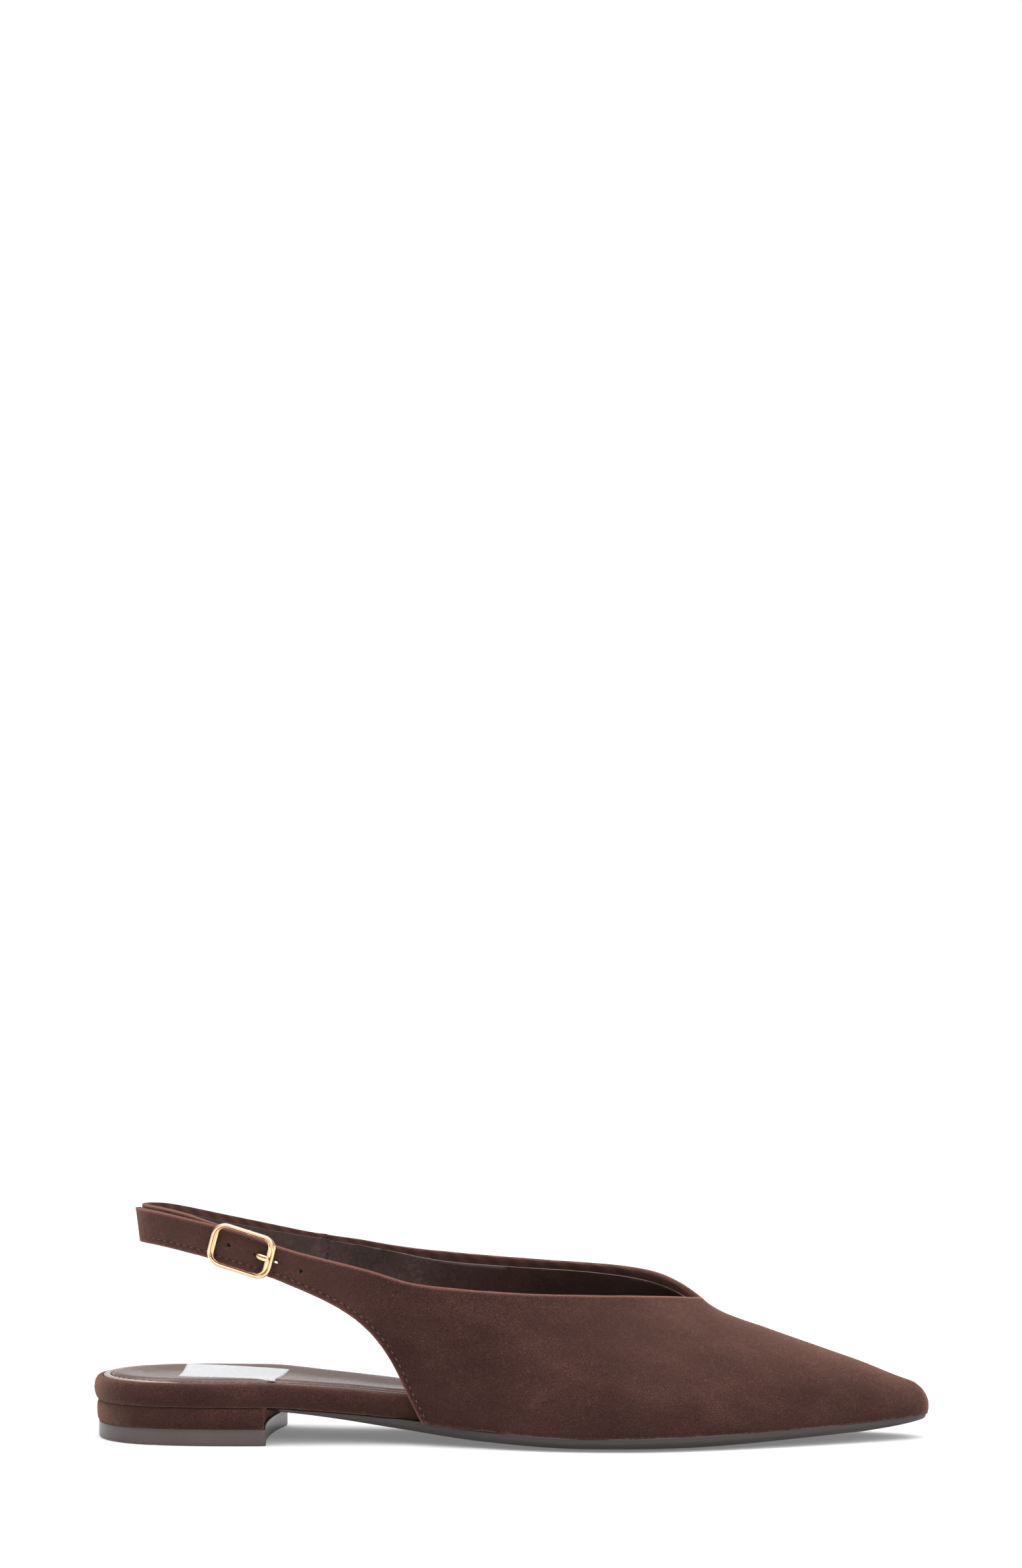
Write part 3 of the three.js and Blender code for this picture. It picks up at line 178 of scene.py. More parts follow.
def calf_suede(name, base, dark, light, edges=False, upright=False):
    """Split calf leather brushed to a short nap.

    The nap is strokes of about 0.6 by 0.18 mm that lie one way in some patches and another way
    in others, and look darker or lighter for it. Cut and folded edges are paler, partly for their
    paler fibre ends and partly as painted rim light.
    """
    made, tree, shader, place = material(name)
    patches = grain(tree, place, 11 * MM, 3.0, 0.5, 0.3, (1.9, 1, 1), 0.15)
    lay = spread(tree, grain(tree, place, 2.6 * MM, 2.0), 0.35, 0.65)
    tilt = math.radians(80 if upright else 28)
    one = grain(tree, place, 0.18 * MM, 2.0, 0.6, 0.7, (3.4, 1, 1), tilt)
    other = grain(tree, place, 0.18 * MM, 2.0, 0.6, 0.7, (3.4, 1, 1), tilt - 1.0)
    strokes = pick(tree, lay, one, other)
    ends = grain(tree, place, 0.24 * MM, 2.0, 0.6)
    tone = sums(tree, (patches, 0.4), (strokes, 1.15), (ends, 0.85))
    colour = blend(tree, spread(tree, tone, 0.96, 1.22), dark, base)
    colour = blend(tree, spread(tree, tone, 1.22, 1.5, 0.0, 0.75), colour, light)
    # Painted light and shade: lighter where the leather faces up, darker where it faces down
    facing = add(tree, "ShaderNodeNewGeometry").outputs["Normal"]
    facing = add(tree, "ShaderNodeSeparateXYZ", {0: facing}).outputs["Z"]
    colour = blend(tree, spread(tree, facing, 0.2, 1.0, 0.0, 0.12), colour, light)
    colour = blend(tree, spread(tree, facing, -0.4, 0.35, 0.5, 0.0), colour, dark)
    height = sums(tree, (strokes, 0.7), (ends, 0.5))
    if edges:
        # Paler cut and folded edges, partly fibre ends and partly painted rim light, and painted shade
        # along the stitches
        pale = tuple(min(1, c * 1.8) for c in light)
        gap = stored(tree, "edge_mm")
        axes = add(tree, "ShaderNodeSeparateXYZ", {0: place}).outputs
        # Painted light: the straps at the back are painted a little lighter than the quarters
        colour = blend(tree, spread(tree, axes["X"], -60 * MM, -35 * MM, 0.17, 0.0), colour, light)
        # Cut edges: paler fibre ends and painted rim light
        ragged = sums(tree, (gap, 1.0), (ends, 1.2))
        colour = blend(tree, spread(tree, ragged, 0.55, 1.3, 0.6, 0.0), colour, pale)
        # Painted shade: a dark line along the stitches
        offset = sums(tree, (gap, 1.0), (1.0, -STITCH_INSET / MM))
        offset = add(tree, "ShaderNodeMath", {0: offset}, operation="ABSOLUTE").outputs[0]
        colour = blend(tree, spread(tree, offset, 0.1, 0.6, 0.55, 0.0), colour, dark)
        # The fold: paler fibre ends and a painted highlight along the rolled top edge
        folded = stored(tree, "fold_mm")
        ragged = sums(tree, (folded, 1.0), (ends, 1.0))
        colour = blend(tree, spread(tree, ragged, 0.5, 1.4, 0.8, 0.0), colour, pale)
        # Pulled over the inner side's edge, the leather shows slanting ribs about 3 mm apart, and the
        # band there is painted paler towards the far side, as painted light on the rolled edge
        inputs = {"Vector": place, "Scale": 1 / (9 * MM), "Distortion": 2.0, "Detail Scale": 2.0}
        ribs = add(tree, "ShaderNodeTexWave", inputs, bands_direction="DIAGONAL").outputs["Fac"]
        band = spread(tree, stored(tree, "top_mm"), 2.6, 4.0, 1.0, 0.0)
        band = product(tree, band, spread(tree, axes["Y"], 1 * MM, 8 * MM))
        ribbed = product(tree, ribs, band)
        height = sums(tree, (height, 1.0), (ribbed, 0.7))
        colour = blend(tree, product(tree, band, 0.32), colour, light)
        colour = blend(tree, product(tree, ribbed, 0.45), colour, dark)
    tree.links.new(colour, shader.inputs["Base Color"])
    shader.inputs["Roughness"].default_value = 0.95
    shader.inputs["Specular IOR Level"].default_value = 0.1
    shader.inputs["Sheen Weight"].default_value = 0.6
    shader.inputs["Sheen Roughness"].default_value = 0.35
    shader.inputs["Sheen Tint"].default_value = (0.95, 0.56, 0.43, 1)
    raise_grain(tree, shader, height, 0.3 * MM, 0.95)
    return made


def smooth_leather(name, base, dark, light, rough=0.42, margin=None):
    """Drum dyed lining leather: fine closed pores and a low, even sheen from its finish.

    A margin, a distance in mm, is where the flattened edge outside the seam is painted paler, a painted
    reflection at the grazing angle.
    """
    made, tree, shader, place = material(name)
    cloud = grain(tree, place, 14 * MM, 3.0, 0.5, 0.5)
    fine = grain(tree, place, 0.9 * MM, 3.0)
    cells = add(tree, "ShaderNodeTexVoronoi", {"Vector": place, "Scale": 1 / (0.7 * MM)})
    tone = sums(tree, (cloud, 0.6), (fine, 0.4))
    colour = blend(tree, spread(tree, tone, 0.34, 0.52), dark, base)
    colour = blend(tree, spread(tree, tone, 0.52, 0.72), colour, light)
    if margin:
        # Painted reflection: the margin is painted paler
        reflection_margin = spread(tree, stored(tree, "reflection_margin_mm"), margin + 0.1, margin + 0.4, 0.8, 0.0)
        colour = blend(tree, reflection_margin, colour, linear("A99C95"))
    tree.links.new(colour, shader.inputs["Base Color"])
    matt = spread(tree, fine, 0.3, 0.7, rough - 0.05, rough + 0.07)
    tree.links.new(matt, shader.inputs["Roughness"])
    shader.inputs["Specular IOR Level"].default_value = 0.38
    height = sums(tree, (cells.outputs["Distance"], 0.4), (fine, 0.6))
    raise_grain(tree, shader, height, 0.07 * MM, 0.6)
    return made


def moulded_rubber(name, base, dark, light, rough, grit, depth, band=None):
    """Injection moulded rubber: even colour and a fine spark eroded mould texture.

    A band, a distance in mm below the upper edge, is left smooth, and the texture starts below, where the
    colour is painted darker as painted shade on the bevel turned down to the floor.
    """
    made, tree, shader, place = material(name)
    cloud = grain(tree, place, 20 * MM, 2.0)
    fine = grain(tree, place, grit, 2.0, 0.6)
    tone = sums(tree, (cloud, 0.5), (fine, 0.5))
    colour = blend(tree, spread(tree, tone, 0.36, 0.52), dark, base)
    colour = blend(tree, spread(tree, tone, 0.52, 0.7), colour, light)
    if band:
        below = spread(tree, stored(tree, "down_mm"), band, band + 0.3)
        # Painted shade: darker below the band
        colour = blend(tree, below, base, blend(tree, 0.85, colour, dark))
        fine = product(tree, fine, below)
    tree.links.new(colour, shader.inputs["Base Color"])
    shader.inputs["Roughness"].default_value = rough
    raise_grain(tree, shader, fine, depth, 0.8)
    return made


def plated_zinc(name, base):
    """Die cast zinc, polished and plated pale gold: a mirror finish with the faintest waviness."""
    made, tree, shader, place = material(name)
    wave = grain(tree, place, 3 * MM, 2.0)
    colour = blend(tree, spread(tree, wave, 0.35, 0.65), base, tuple(min(1, c * 1.06) for c in base))
    tree.links.new(colour, shader.inputs["Base Color"])
    shader.inputs["Metallic"].default_value = 1.0
    shader.inputs["Roughness"].default_value = 0.11
    raise_grain(tree, shader, wave, 0.05 * MM, 0.3)
    return made


def spun_thread(name, base, dark):
    """Bonded polyester sewing thread: the twist shows as fine slanting strands."""
    made, tree, shader, place = material(name)
    strands = add(tree, "ShaderNodeTexWave", {"Vector": place, "Scale": 1 / (1.5 * MM), "Distortion": 1.5})
    colour = blend(tree, strands.outputs["Fac"], dark, base)
    tree.links.new(colour, shader.inputs["Base Color"])
    shader.inputs["Roughness"].default_value = 0.7
    raise_grain(tree, shader, strands.outputs["Fac"], 0.08 * MM, 0.6)
    return made


def woven_satin(name, base, shade):
    """Woven satin label: a close even weave with small flecks where the floats catch the light."""
    made, tree, shader, place = material(name)
    weft = grain(tree, place, 0.25 * MM, 1.0, stretch=(5, 1, 1))
    fleck = grain(tree, place, 0.5 * MM, 3.0, 0.7, 0.5)
    weave = sums(tree, (weft, 0.4), (fleck, 0.7))
    colour = blend(tree, spread(tree, weave, 0.4, 0.62), shade, base)
    tree.links.new(colour, shader.inputs["Base Color"])
    matt = spread(tree, fleck, 0.35, 0.65, 0.3, 0.55)
    tree.links.new(matt, shader.inputs["Roughness"])
    raise_grain(tree, shader, weave, 0.1 * MM, 0.6)
    return made


def plain_dark(name, base):
    """The shaded bottom of a needle hole."""
    made, tree, shader, place = material(name)
    cloud = grain(tree, place, 0.4 * MM)
    colour = blend(tree, cloud, base, tuple(c * 0.6 for c in base))
    tree.links.new(colour, shader.inputs["Base Color"])
    shader.inputs["Roughness"].default_value = 1.0
    return made


def studio_paper(name, base):
    """Matt white paper that glows, weakly under the shoe and fully further out: painted light.

    The glow softens the shadows near the shoe and keeps the far paper white.
    """
    made, tree, shader, place = material(name)
    fibre = grain(tree, place, 2 * MM)
    colour = blend(tree, fibre, base, tuple(c * 0.995 for c in base))
    tree.links.new(colour, shader.inputs["Base Color"])
    shader.inputs["Roughness"].default_value = 1.0
    shader.inputs["Specular IOR Level"].default_value = 0.0
    shader.inputs["Emission Color"].default_value = (1, 1, 1, 1)
    # Painted light: the paper's glow grows with the distance from the shoe
    away = add(tree, "ShaderNodeVectorMath", {0: place}, operation="LENGTH").outputs["Value"]
    tree.links.new(spread(tree, away, 0.5, 2.0, 0.18, 0.7), shader.inputs["Emission Strength"])
    return made


MADE = {}


def finish(name):
    """The named finish, made once from the colours in the panel."""
    if name not in MADE:
        s = bpy.context.scene.shoe
        suede, nap, pile = (tuple(c) for c in (s.suede, s.suede_shade, s.suede_light))
        lining = tuple(s.lining)
        MADE.update({
            "upper suede": calf_suede("calf_suede_upper", suede, nap, pile, edges=True),
            "wrap suede": calf_suede("calf_suede_wrap", suede, nap, pile, upright=True),
            "nap": calf_suede("calf_suede_nap", tuple(0.6 * c for c in pile), nap, pile),
            # The loose fibres at the edges are painted much paler, standing in for light shining through
            # them
            "edge nap": calf_suede("calf_suede_edge_nap", tuple(2.2 * c for c in pile), pile,
                                   tuple(3.2 * c for c in pile)),
            "lining": smooth_leather("lining_leather", lining, linear("2C201D"), linear("4A3833"), 0.36),
            # The lining's cut edge: paler raw leather, painted paler still as the glint it catches
            "cut edge and glint": smooth_leather("lining_cut_edge_glint", linear("85766F"), linear("5F524C"),
                                          linear("A99C95"), 0.5),
            "sock": smooth_leather("sock_leather", tuple(s.sock), linear("47352F"),
                                   linear("6E574E"), 0.25, STITCH_LINE),
            "outsole": moulded_rubber("outsole_rubber", tuple(s.sole), linear("251C18"),
                                      linear("463B39"), 0.45, 0.5 * MM, 0.2 * MM, 1.5),
            "top lift": moulded_rubber("top_lift_rubber", tuple(s.lift), linear("443938"),
                                       linear("514544"), 0.36, 0.3 * MM, 0.03 * MM),
            "gold": plated_zinc("pale_gold_plate", tuple(s.gold)),
            "thread": spun_thread("suede_thread", tuple(s.thread), linear("402C26")),
            "sock thread": spun_thread("sock_thread", linear("3A2C28"), linear("1E1614")),
            "label": woven_satin("label_satin", tuple(s.label), linear("A9ABAE")),
            "needle hole": plain_dark("needle_hole", linear("1E1513")),
            "paper": studio_paper("white_paper", linear("E4E4E4")),
        })
    return MADE[name]


# Working on meshes

def welded(node):
    """A welded copy of a CAD node, with its triangles paired up into the cells they came from."""
    bm = bmesh.new()
    bm.from_mesh(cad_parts[node].data)
    bmesh.ops.remove_doubles(bm, verts=bm.verts, dist=0.02 * MM)
    bmesh.ops.join_triangles(
        bm, faces=bm.faces, angle_face_threshold=math.radians(50),
        angle_shape_threshold=math.pi)
    return bm


def crease_where(bm, test, amount):
    """Keeps the edges that pass the test crisp when the surface is rounded."""
    layer = bm.edges.layers.float.get("crease_edge") or bm.edges.layers.float.new("crease_edge")
    for edge in bm.edges:
        if test(edge):
            edge[layer] = amount


def rounded(bm, levels):
    """The surface after subdivision; the bmesh passed in is used up."""
    mesh = bpy.data.meshes.new("draft")
    bm.to_mesh(mesh)
    bm.free()
    draft = bpy.data.objects.new("draft", mesh)
    bpy.context.scene.collection.objects.link(draft)
    modifier = draft.modifiers.new("round", "SUBSURF")
    modifier.levels = levels
    modifier.render_levels = levels
    result = bmesh.new()
    result.from_object(draft, bpy.context.evaluated_depsgraph_get())
    bpy.data.objects.remove(draft)
    bpy.data.meshes.remove(mesh)
    return result


def mark_skins(bm, wall):
    """Sets each face's material index: the wall's outer skin, its rim or its inner skin."""
    tree = BVHTree.FromBMesh(bm)
    skin = set()
    for face in bm.faces:
        start = face.calc_center_median() - face.normal * 0.05 * MM
        depth = tree.ray_cast(start, -face.normal)[3]
        face.material_index = RIM
        if depth is not None and depth < 1.45 * wall:
            skin.add(face)
    groups = []
    while skin:
        stack = [skin.pop()]
        group = []
        while stack:
            face = stack.pop()
            group.append(face)
            for edge in face.edges:
                for other in edge.link_faces:
                    if other in skin and edge.calc_face_angle(0) < math.radians(60):
                        skin.discard(other)
                        stack.append(other)
        groups.append(group)
    groups.sort(key=lambda group: -sum(face.calc_area() for face in group))
    for index, group in zip((OUTER, INNER), groups):
        for face in group:
            face.material_index = index


def points_on(edge, step, start=0.0):
    """Points along an edge, about a step apart."""
    a, b = (vert.co for vert in edge.verts)
    count = max(1, math.ceil((b - a).length / step))
    return [a.lerp(b, (k + start) / count) for k in range(count)]


def border_points(bm, skin, wanted):
    """Points along the skin's border, wherever the rim face beside it is a wanted one."""
    points = []
    for edge in bm.edges:
        if len(edge.link_faces) != 2:
            continue
        kinds = {face.material_index: face for face in edge.link_faces}
        if set(kinds) == {RIM, skin} and wanted(kinds[RIM]):
            points += points_on(edge, 0.25 * MM, 0.5)
    return points


def tree_of(points):
    """A search tree of points."""
    tree = kdtree.KDTree(len(points))
    for index, point in enumerate(points):
        tree.insert(point, index)
    tree.balance()
    return tree


def measure_from(bm, name, points):
    """Stores on each vertex its distance in mm from the nearest of the points."""
    tree = tree_of(points)
    layer = bm.verts.layers.float.new(name)
    for vert in bm.verts:
        vert[layer] = tree.find(vert.co)[2] / MM
    return layer


def measure_edges(bm, is_cut, is_folded):
    """Stores each vertex's distance from the cut edges and from both sides of the folded one."""
    measure_from(bm, "edge_mm", border_points(bm, OUTER, is_cut))
    measure_from(bm, "top_mm", border_points(bm, INNER, is_folded))
    measure_from(bm, "fold_mm", border_points(bm, OUTER, is_folded))


def cut_along(bm, layer, level):
    """Cuts the faces along the line on which the layer has the level."""
    fresh = set()
    for edge in list(bm.edges):
        a, b = edge.verts
        if (a[layer] - level) * (b[layer] - level) >= 0:
            continue
        share = (level - a[layer]) / (b[layer] - a[layer])
        if 0.02 < share < 0.98:
            vert = bmesh.utils.edge_split(edge, a, share)[1]
            vert[layer] = level
            fresh.add(vert)
        else:
            near = a if share < 0.5 else b
            near[layer] = level
            fresh.add(near)
    for face in list(bm.faces):
        on_line = [vert for vert in face.verts if vert in fresh]
        if len(on_line) == 2 and not any(
                set(edge.verts) == set(on_line) for edge in face.edges):
            bmesh.utils.face_split(face, on_line[0], on_line[1])


def level_lines(bm, layer, level, wanted=lambda face: True):
    """Lines on which the layer has the level, each a list of points with their normals."""
    bm.edges.index_update()
    links = {}
    spots = {}
    for face in bm.faces:
        if not wanted(face):
            continue
        ends = []
        for edge in face.edges:
            a, b = edge.verts
            if (a[layer] - level) * (b[layer] - level) < 0:
                share = (level - a[layer]) / (b[layer] - a[layer])
                normal = a.normal.lerp(b.normal, share).normalized()
                spots[edge.index] = (a.co.lerp(b.co, share), normal)
                ends.append(edge.index)
        if len(ends) == 2:
            links.setdefault(ends[0], []).append(ends[1])
            links.setdefault(ends[1], []).append(ends[0])
    lines = []
    unused = set(links)
    while unused:
        tips = [key for key in unused if len(links[key]) == 1]
        key = min(tips) if tips else min(unused)
        line = []
        while key is not None:
            unused.discard(key)
            line.append(spots[key])
            key = next((other for other in links[key] if other in unused), None)
        lines.append(line)
    return lines


def span_of(line):
    """Length of a line."""
    return sum((b - a).length for (a, _), (b, _) in zip(line, line[1:]))


def paced(line, pitch):
    """Points at an even pitch along a line, each with its direction and normal."""
    steps = []
    travelled = 0.0
    due = pitch / 2
    for (a, na), (b, nb) in zip(line, line[1:]):
        run = b - a
        length = run.length
        while length > 0 and due <= travelled + length:
            share = (due - travelled) / length
            steps.append((a.lerp(b, share), run / length, na.lerp(nb, share).normalized()))
            due += pitch
        travelled += length
    return steps


def evened(line, rounds=3):
    """The line with its small kinks smoothed out."""
    points = [point.copy() for point, _ in line]
    for _ in range(rounds):
        points = [points[0]] + [
            (a + b * 2 + c) / 4 for a, b, c in zip(points, points[1:], points[2:])
        ] + [points[-1]]
    return [(point, normal) for point, (_, normal) in zip(points, line)]


def piece(bm, name, finishes, replaces=()):
    """Turns a bmesh into a finished piece that rides on the shoe."""
    mesh = bpy.data.meshes.new(name)
    bm.to_mesh(mesh)
    bm.free()
    for each in finishes:
        mesh.materials.append(finish(each))
    mesh.shade_smooth()
    obj = bpy.data.objects.new(name, mesh)
    bpy.context.scene.collection.objects.link(obj)
    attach(obj, BODY)
    if replaces:
        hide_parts(*replaces)
    return obj


def is_sharp(degrees):
    """A test for edges whose faces meet at more than the angle."""
    limit = math.radians(degrees)
    return lambda edge: len(edge.link_faces) == 2 and edge.calc_face_angle(0) > limit


def crease_rims(bm):
    """Keeps both corners of a wall's rim a little crisper than its skins."""
    for skin in (OUTER, INNER):
        crease_where(bm, lambda edge: {
            face.material_index for face in edge.link_faces} == {skin, RIM}, 0.35)


def waver(point, size, depth, seed=0.0):
    """Smooth random height of the given depth, with bumps of the given size."""
    return depth * noise.noise(point / size + Vector((seed, seed * 1.7, -seed)))


def relieve(bm, relief):
    """Moves each vertex along its normal by the relief's height there."""
    for vert in bm.verts:
        vert.co += vert.normal * relief(vert.co)


def verts_in(parts):
    """The vertices among what an operator gave back."""
    return [item for item in parts if isinstance(item, bmesh.types.BMVert)]


def drop_faces(bm, test):
    """Deletes the faces that pass the test, with what only they held."""
    doomed = [face for face in bm.faces if test(face)]
    bmesh.ops.delete(bm, geom=doomed, context="FACES")


# Loose fibres: how many stand on a square mm, how long they are and how steeply they stand
EDGE_NAP = {"density": 12, "length": 0.3 * MM, "lift": 0.6}
SKIN_NAP = {"density": 0.8, "length": 0.45 * MM, "lift": 0.25}
WRAP_NAP = {"density": 2.0, "length": 0.35 * MM, "lift": 0.4}
FIBRE_HALF = 0.035 * MM  # half a fibre's width


def raise_nap(bm, faces, nap, index, seed):
    """Loose fibres standing on the faces, each one thin triangle."""
    dice = random.Random(seed)
    spots = []
    for face in faces:
        corners = [vert.co for vert in face.verts]
        a, b, c = corners[:3]
        d = corners[3] if len(corners) > 3 else a
        for _ in range(int(face.calc_area() / MM ** 2 * nap["density"] + dice.random())):
            u, v = dice.random(), dice.random()
            spots.append((a.lerp(b, u).lerp(d.lerp(c, u), v), face.normal.copy()))
    for point, out in spots:
        patch = point / (5 * MM)
        lay = Vector((noise.noise(patch), 0.3, noise.noise(patch + Vector((9, 4, 2))) - 0.25))
        stray = Vector((dice.gauss(0, 1), dice.gauss(0, 1), dice.gauss(0, 1)))
        lean = (out * nap["lift"] + lay.normalized() + stray * 0.35).normalized()
        side = lean.cross(out).normalized() * FIBRE_HALF
        tip = point + lean * nap["length"] * dice.uniform(0.5, 1.2)
        face = bm.faces.new([bm.verts.new(co) for co in (point - side, point + side, tip)])
        face.material_index = index
        face.smooth = True


def near_edge(bm, name):
    """Faces that reach within 0.7 mm of the edge that the stored distance counts from."""
    layer = bm.verts.layers.float.get(name)
    return [face for face in bm.faces if min(vert[layer] for vert in face.verts) < 0.7]


# Upper

WALL = 1.9 * MM
STRAP_WALL = 1.6 * MM
SEAM = -61.0 * MM  # where the sling strap meets the inner quarter
SEAM_SLANT = 0.115  # how far the seam in the lining leans forward as it rises
SEAM_HEIGHT = 61.5 * MM
LINING_LIFT = 0.32 * MM  # the lining's face over the solid's inner skin
LINING_THICK = 0.8 * MM
# The outer strap's holes: where each is cut in the solid, how far along and across the strap it
# is moved, and its radius, in mm
HOLES = [
    {"x": -88.70, "z": 63.00, "along": -0.1, "across": 0.35, "radius": 0.75, "through": False},
    {"x": -81.30, "z": 60.99, "along": 1.6, "across": -0.1, "radius": 0.6, "through": False},
    {"x": -73.30, "z": 57.96, "along": -0.4, "across": 0.0, "radius": 0.6, "through": True},
    {"x": -65.04, "z": 55.12, "along": -0.8, "across": 0.23, "radius": 0.6, "through": False},
]


def hole_gap(point):
    """Distance in mm from a point of the outer strap to the nearest hole, and that hole."""
    if point.y > 0:
        return 99.0, None
    gaps = [(math.hypot(point.x / MM - hole["x"], point.z / MM - hole["z"]), k)
            for k, hole in enumerate(HOLES)]
    gap, index = min(gaps)
    return gap, HOLES[index]


def is_topline(rim):
    """Rim faces that look up: the collar, the throat and the straps' top edges."""
    return rim.normal.z > 0.35 and hole_gap(rim.calc_center_median())[0] > 4


def is_foot(rim):
    """Rim faces where the upper stands on the sole."""
    return rim.normal.z < -0.75 and rim.calc_center_median().z < 17 * MM


def is_raw(rim):
    """Rim faces along the lower and rear edges and the tail's end."""
    centre = rim.calc_center_median()
    at_seam = centre.y > 0 and centre.x < SEAM + 1 * MM
    in_hole = hole_gap(centre)[0] < 4
    return rim.normal.z <= 0.35 and not (at_seam or in_hole)


def hole_shade_discs(bm):
    """Dark discs behind the holes that aren't punched right through, painted shade where the lining shows
    through.
    """
    discs = bmesh.new()
    for hole in HOLES:
        if hole["through"]:
            continue
        rim = [vert.co for vert in bm.verts if hole_gap(vert.co)[0] < 2.2
               and hole_gap(vert.co)[1] is hole]
        middle = sum(rim, Vector()) / len(rim)
        turn = BUCKLE_OUT.to_track_quat("Z", "Y").to_matrix().to_4x4()
        bmesh.ops.create_circle(
            discs, cap_ends=True, segments=24, radius=1.9 * MM,
            matrix=Matrix.Translation(middle) @ turn)
    return discs


def shaped_strap(point, in_hole):
    """A point of the upper, moved to draw the holes round and small and to fill out the buckle.

    A point on a hole's own wall goes on to the circle of the hole's radius.
    """
    gap, hole = hole_gap(point)
    if hole and gap < 6:
        middle = Vector((hole["x"] * MM, point.y, hole["z"] * MM))
        share = hole["radius"] / gap if in_hole else 1 - 0.45 * bell(gap, 1.9)
        point = middle + (point - middle) * share
        move = BUCKLE_ALONG * hole["along"] + BUCKLE_ACROSS * hole["across"]
        point = point + move * MM * bell(gap, 3.2)
    offset = point - BUCKLE_MIDDLE
    along, across = offset.dot(BUCKLE_ALONG) / MM, offset.dot(BUCKLE_ACROSS) / MM
    if point.y < 0 and abs(along) < 14:
        low = smooth(-across, 1.0, 5.0) * math.exp(-(along / 9.0) ** 4)
        point = point - BUCKLE_ACROSS * 0.75 * MM * low
    return point


def upper_shell():
    """The upper's solid, rounded, with its skins marked and its distances measured."""
    bm = welded("upper")
    mark_skins(bm, WALL)
    # The wall is thickest at the point of the toe, which is skin and not rim all the same
    for face in bm.faces:
        if face.calc_center_median().x > 110 * MM and face.normal.z > 0 and (
                face.material_index == RIM):
            face.material_index = OUTER
    crease_rims(bm)
    crease_where(bm, is_sharp(75), 0.6)
    crease_where(bm, lambda edge: hole_gap(edge.verts[0].co)[0] < 2, 0.0)
    crease_where(bm, lambda edge: is_sharp(40)(edge) and any(
        is_foot(face) for face in edge.link_faces), 1.0)
    at_seam = SEAM + 0.5 * MM
    crease_where(bm, lambda edge: all(v.co.x < at_seam and v.co.y > 0 for v in edge.verts), 1.0)
    bm = rounded(bm, 2)
    for face in bm.faces:
        if face.material_index == RIM and is_foot(face):
            face.material_index = FOOT
    walls = {vert for face in bm.faces if face.material_index == RIM
             and hole_gap(face.calc_center_median())[0] < 3 for vert in face.verts}
    for vert in bm.verts:
        vert.co = shaped_strap(vert.co, vert in walls)
    for vert in {vert for face in bm.faces if face.material_index == FOOT for vert in face.verts}:
        vert.co.z -= 0.2 * MM
    bm.normal_update()
    measure_edges(bm, is_raw, is_topline)
    return bm


def suede_relief(point):
    """The low waves of leather drawn over a last."""
    return waver(point, 22 * MM, 0.16 * MM) + waver(point, 9 * MM, 0.08 * MM, 3.0)


def lining_relief(point):
    """Wrinkles of the lining under the collar on the inner side, and its low waves."""
    spot = Vector((-27, 24, 46)) * MM
    near = bell((point - spot).length, 15 * MM) if point.y > 0 else 0.0
    slant = (point.z + 0.16 * point.x) / (1.5 * MM) + 2.2 * noise.noise(point / (7 * MM))
    return 0.09 * MM * near * math.sin(slant * math.tau) + waver(point, 14 * MM, 0.08 * MM, 5.0)


def fold_change(point):
    """How much narrower than usual, in mm, the turned-in suede is along the inner side."""
    along = point.x / MM
    if point.y < 0:
        return 0.0
    if along < -61.8:
        return 0.8 * bell(along + 62, 16)
    return 1.25 * (1 - smooth(along, -41, -18)) + 0.48 * bell(along - 16, 26)


def seam_at(height, end):
    """How far along the shoe the lining's slanting end lies at a height."""
    return end + SEAM_SLANT * (height - SEAM_HEIGHT)


def make_lining(bm, name, fold, end, lap):
    """A lining sheet on the inner skin of a walled piece, from below the fold down.

    Its end at the slanting seam is set, and the sheet that laps over the other is stitched.
    """
    sheet = bm.copy()
    drop_faces(sheet, lambda face: face.material_index != INNER)
    layer = sheet.verts.layers.float.get("top_mm")
    for vert in sheet.verts:
        vert[layer] += fold_change(vert.co)
    cut_along(sheet, layer, fold / MM)
    drop_faces(sheet, lambda face: sum(v[layer] for v in face.verts) / len(face.verts) < fold / MM)
    sheet.normal_update()
    for vert in sheet.verts:
        near_seam = vert.co.y > 0 and abs(vert.co.x - SEAM) < 1.2 * MM
        rise = lap if near_seam else 0.0
        vert.co += vert.normal * (LINING_LIFT + lining_relief(vert.co) + rise)
        if near_seam and vert.is_boundary:
            vert.co.x = seam_at(vert.co.z, end)
    sheet.normal_update()
    for face in sheet.faces:
        face.material_index = 0
    lines = []
    if lap:
        gap = sheet.verts.layers.float.new("seam_mm")
        for vert in sheet.verts:
            vert[gap] = (vert.co.x - seam_at(vert.co.z, end)) / MM
        lines = level_lines(sheet, gap, 0.5, lambda face: face.calc_center_median().y > 0)
    out = {vert: vert.normal.copy() for vert in sheet.verts}
    edges = [edge for edge in sheet.edges if edge.is_boundary]
    grown = bmesh.ops.extrude_edge_only(sheet, edges=edges)["geom"]
    for vert in verts_in(grown):
        for edge in vert.link_edges:
            other = edge.other_vert(vert)
            if other in out:
                vert.co = other.co - out[other] * LINING_THICK
    # The top edge takes the cut edge finish: raw leather with a painted glint
    for face in grown:
        if isinstance(face, bmesh.types.BMFace):
            at_fold = max(vert[layer] for vert in face.verts) < fold / MM + 0.3
            face.material_index = 1 if at_fold else 0
    bmesh.ops.recalc_face_normals(sheet, faces=sheet.faces)
    piece(sheet, name, ["lining", "cut edge and glint"])
    for line in lines:
        sew(line, name + "_seam", "sock thread", 1.9 * MM, 1.3 * MM, 0.5 * MM, sunk=0.1)


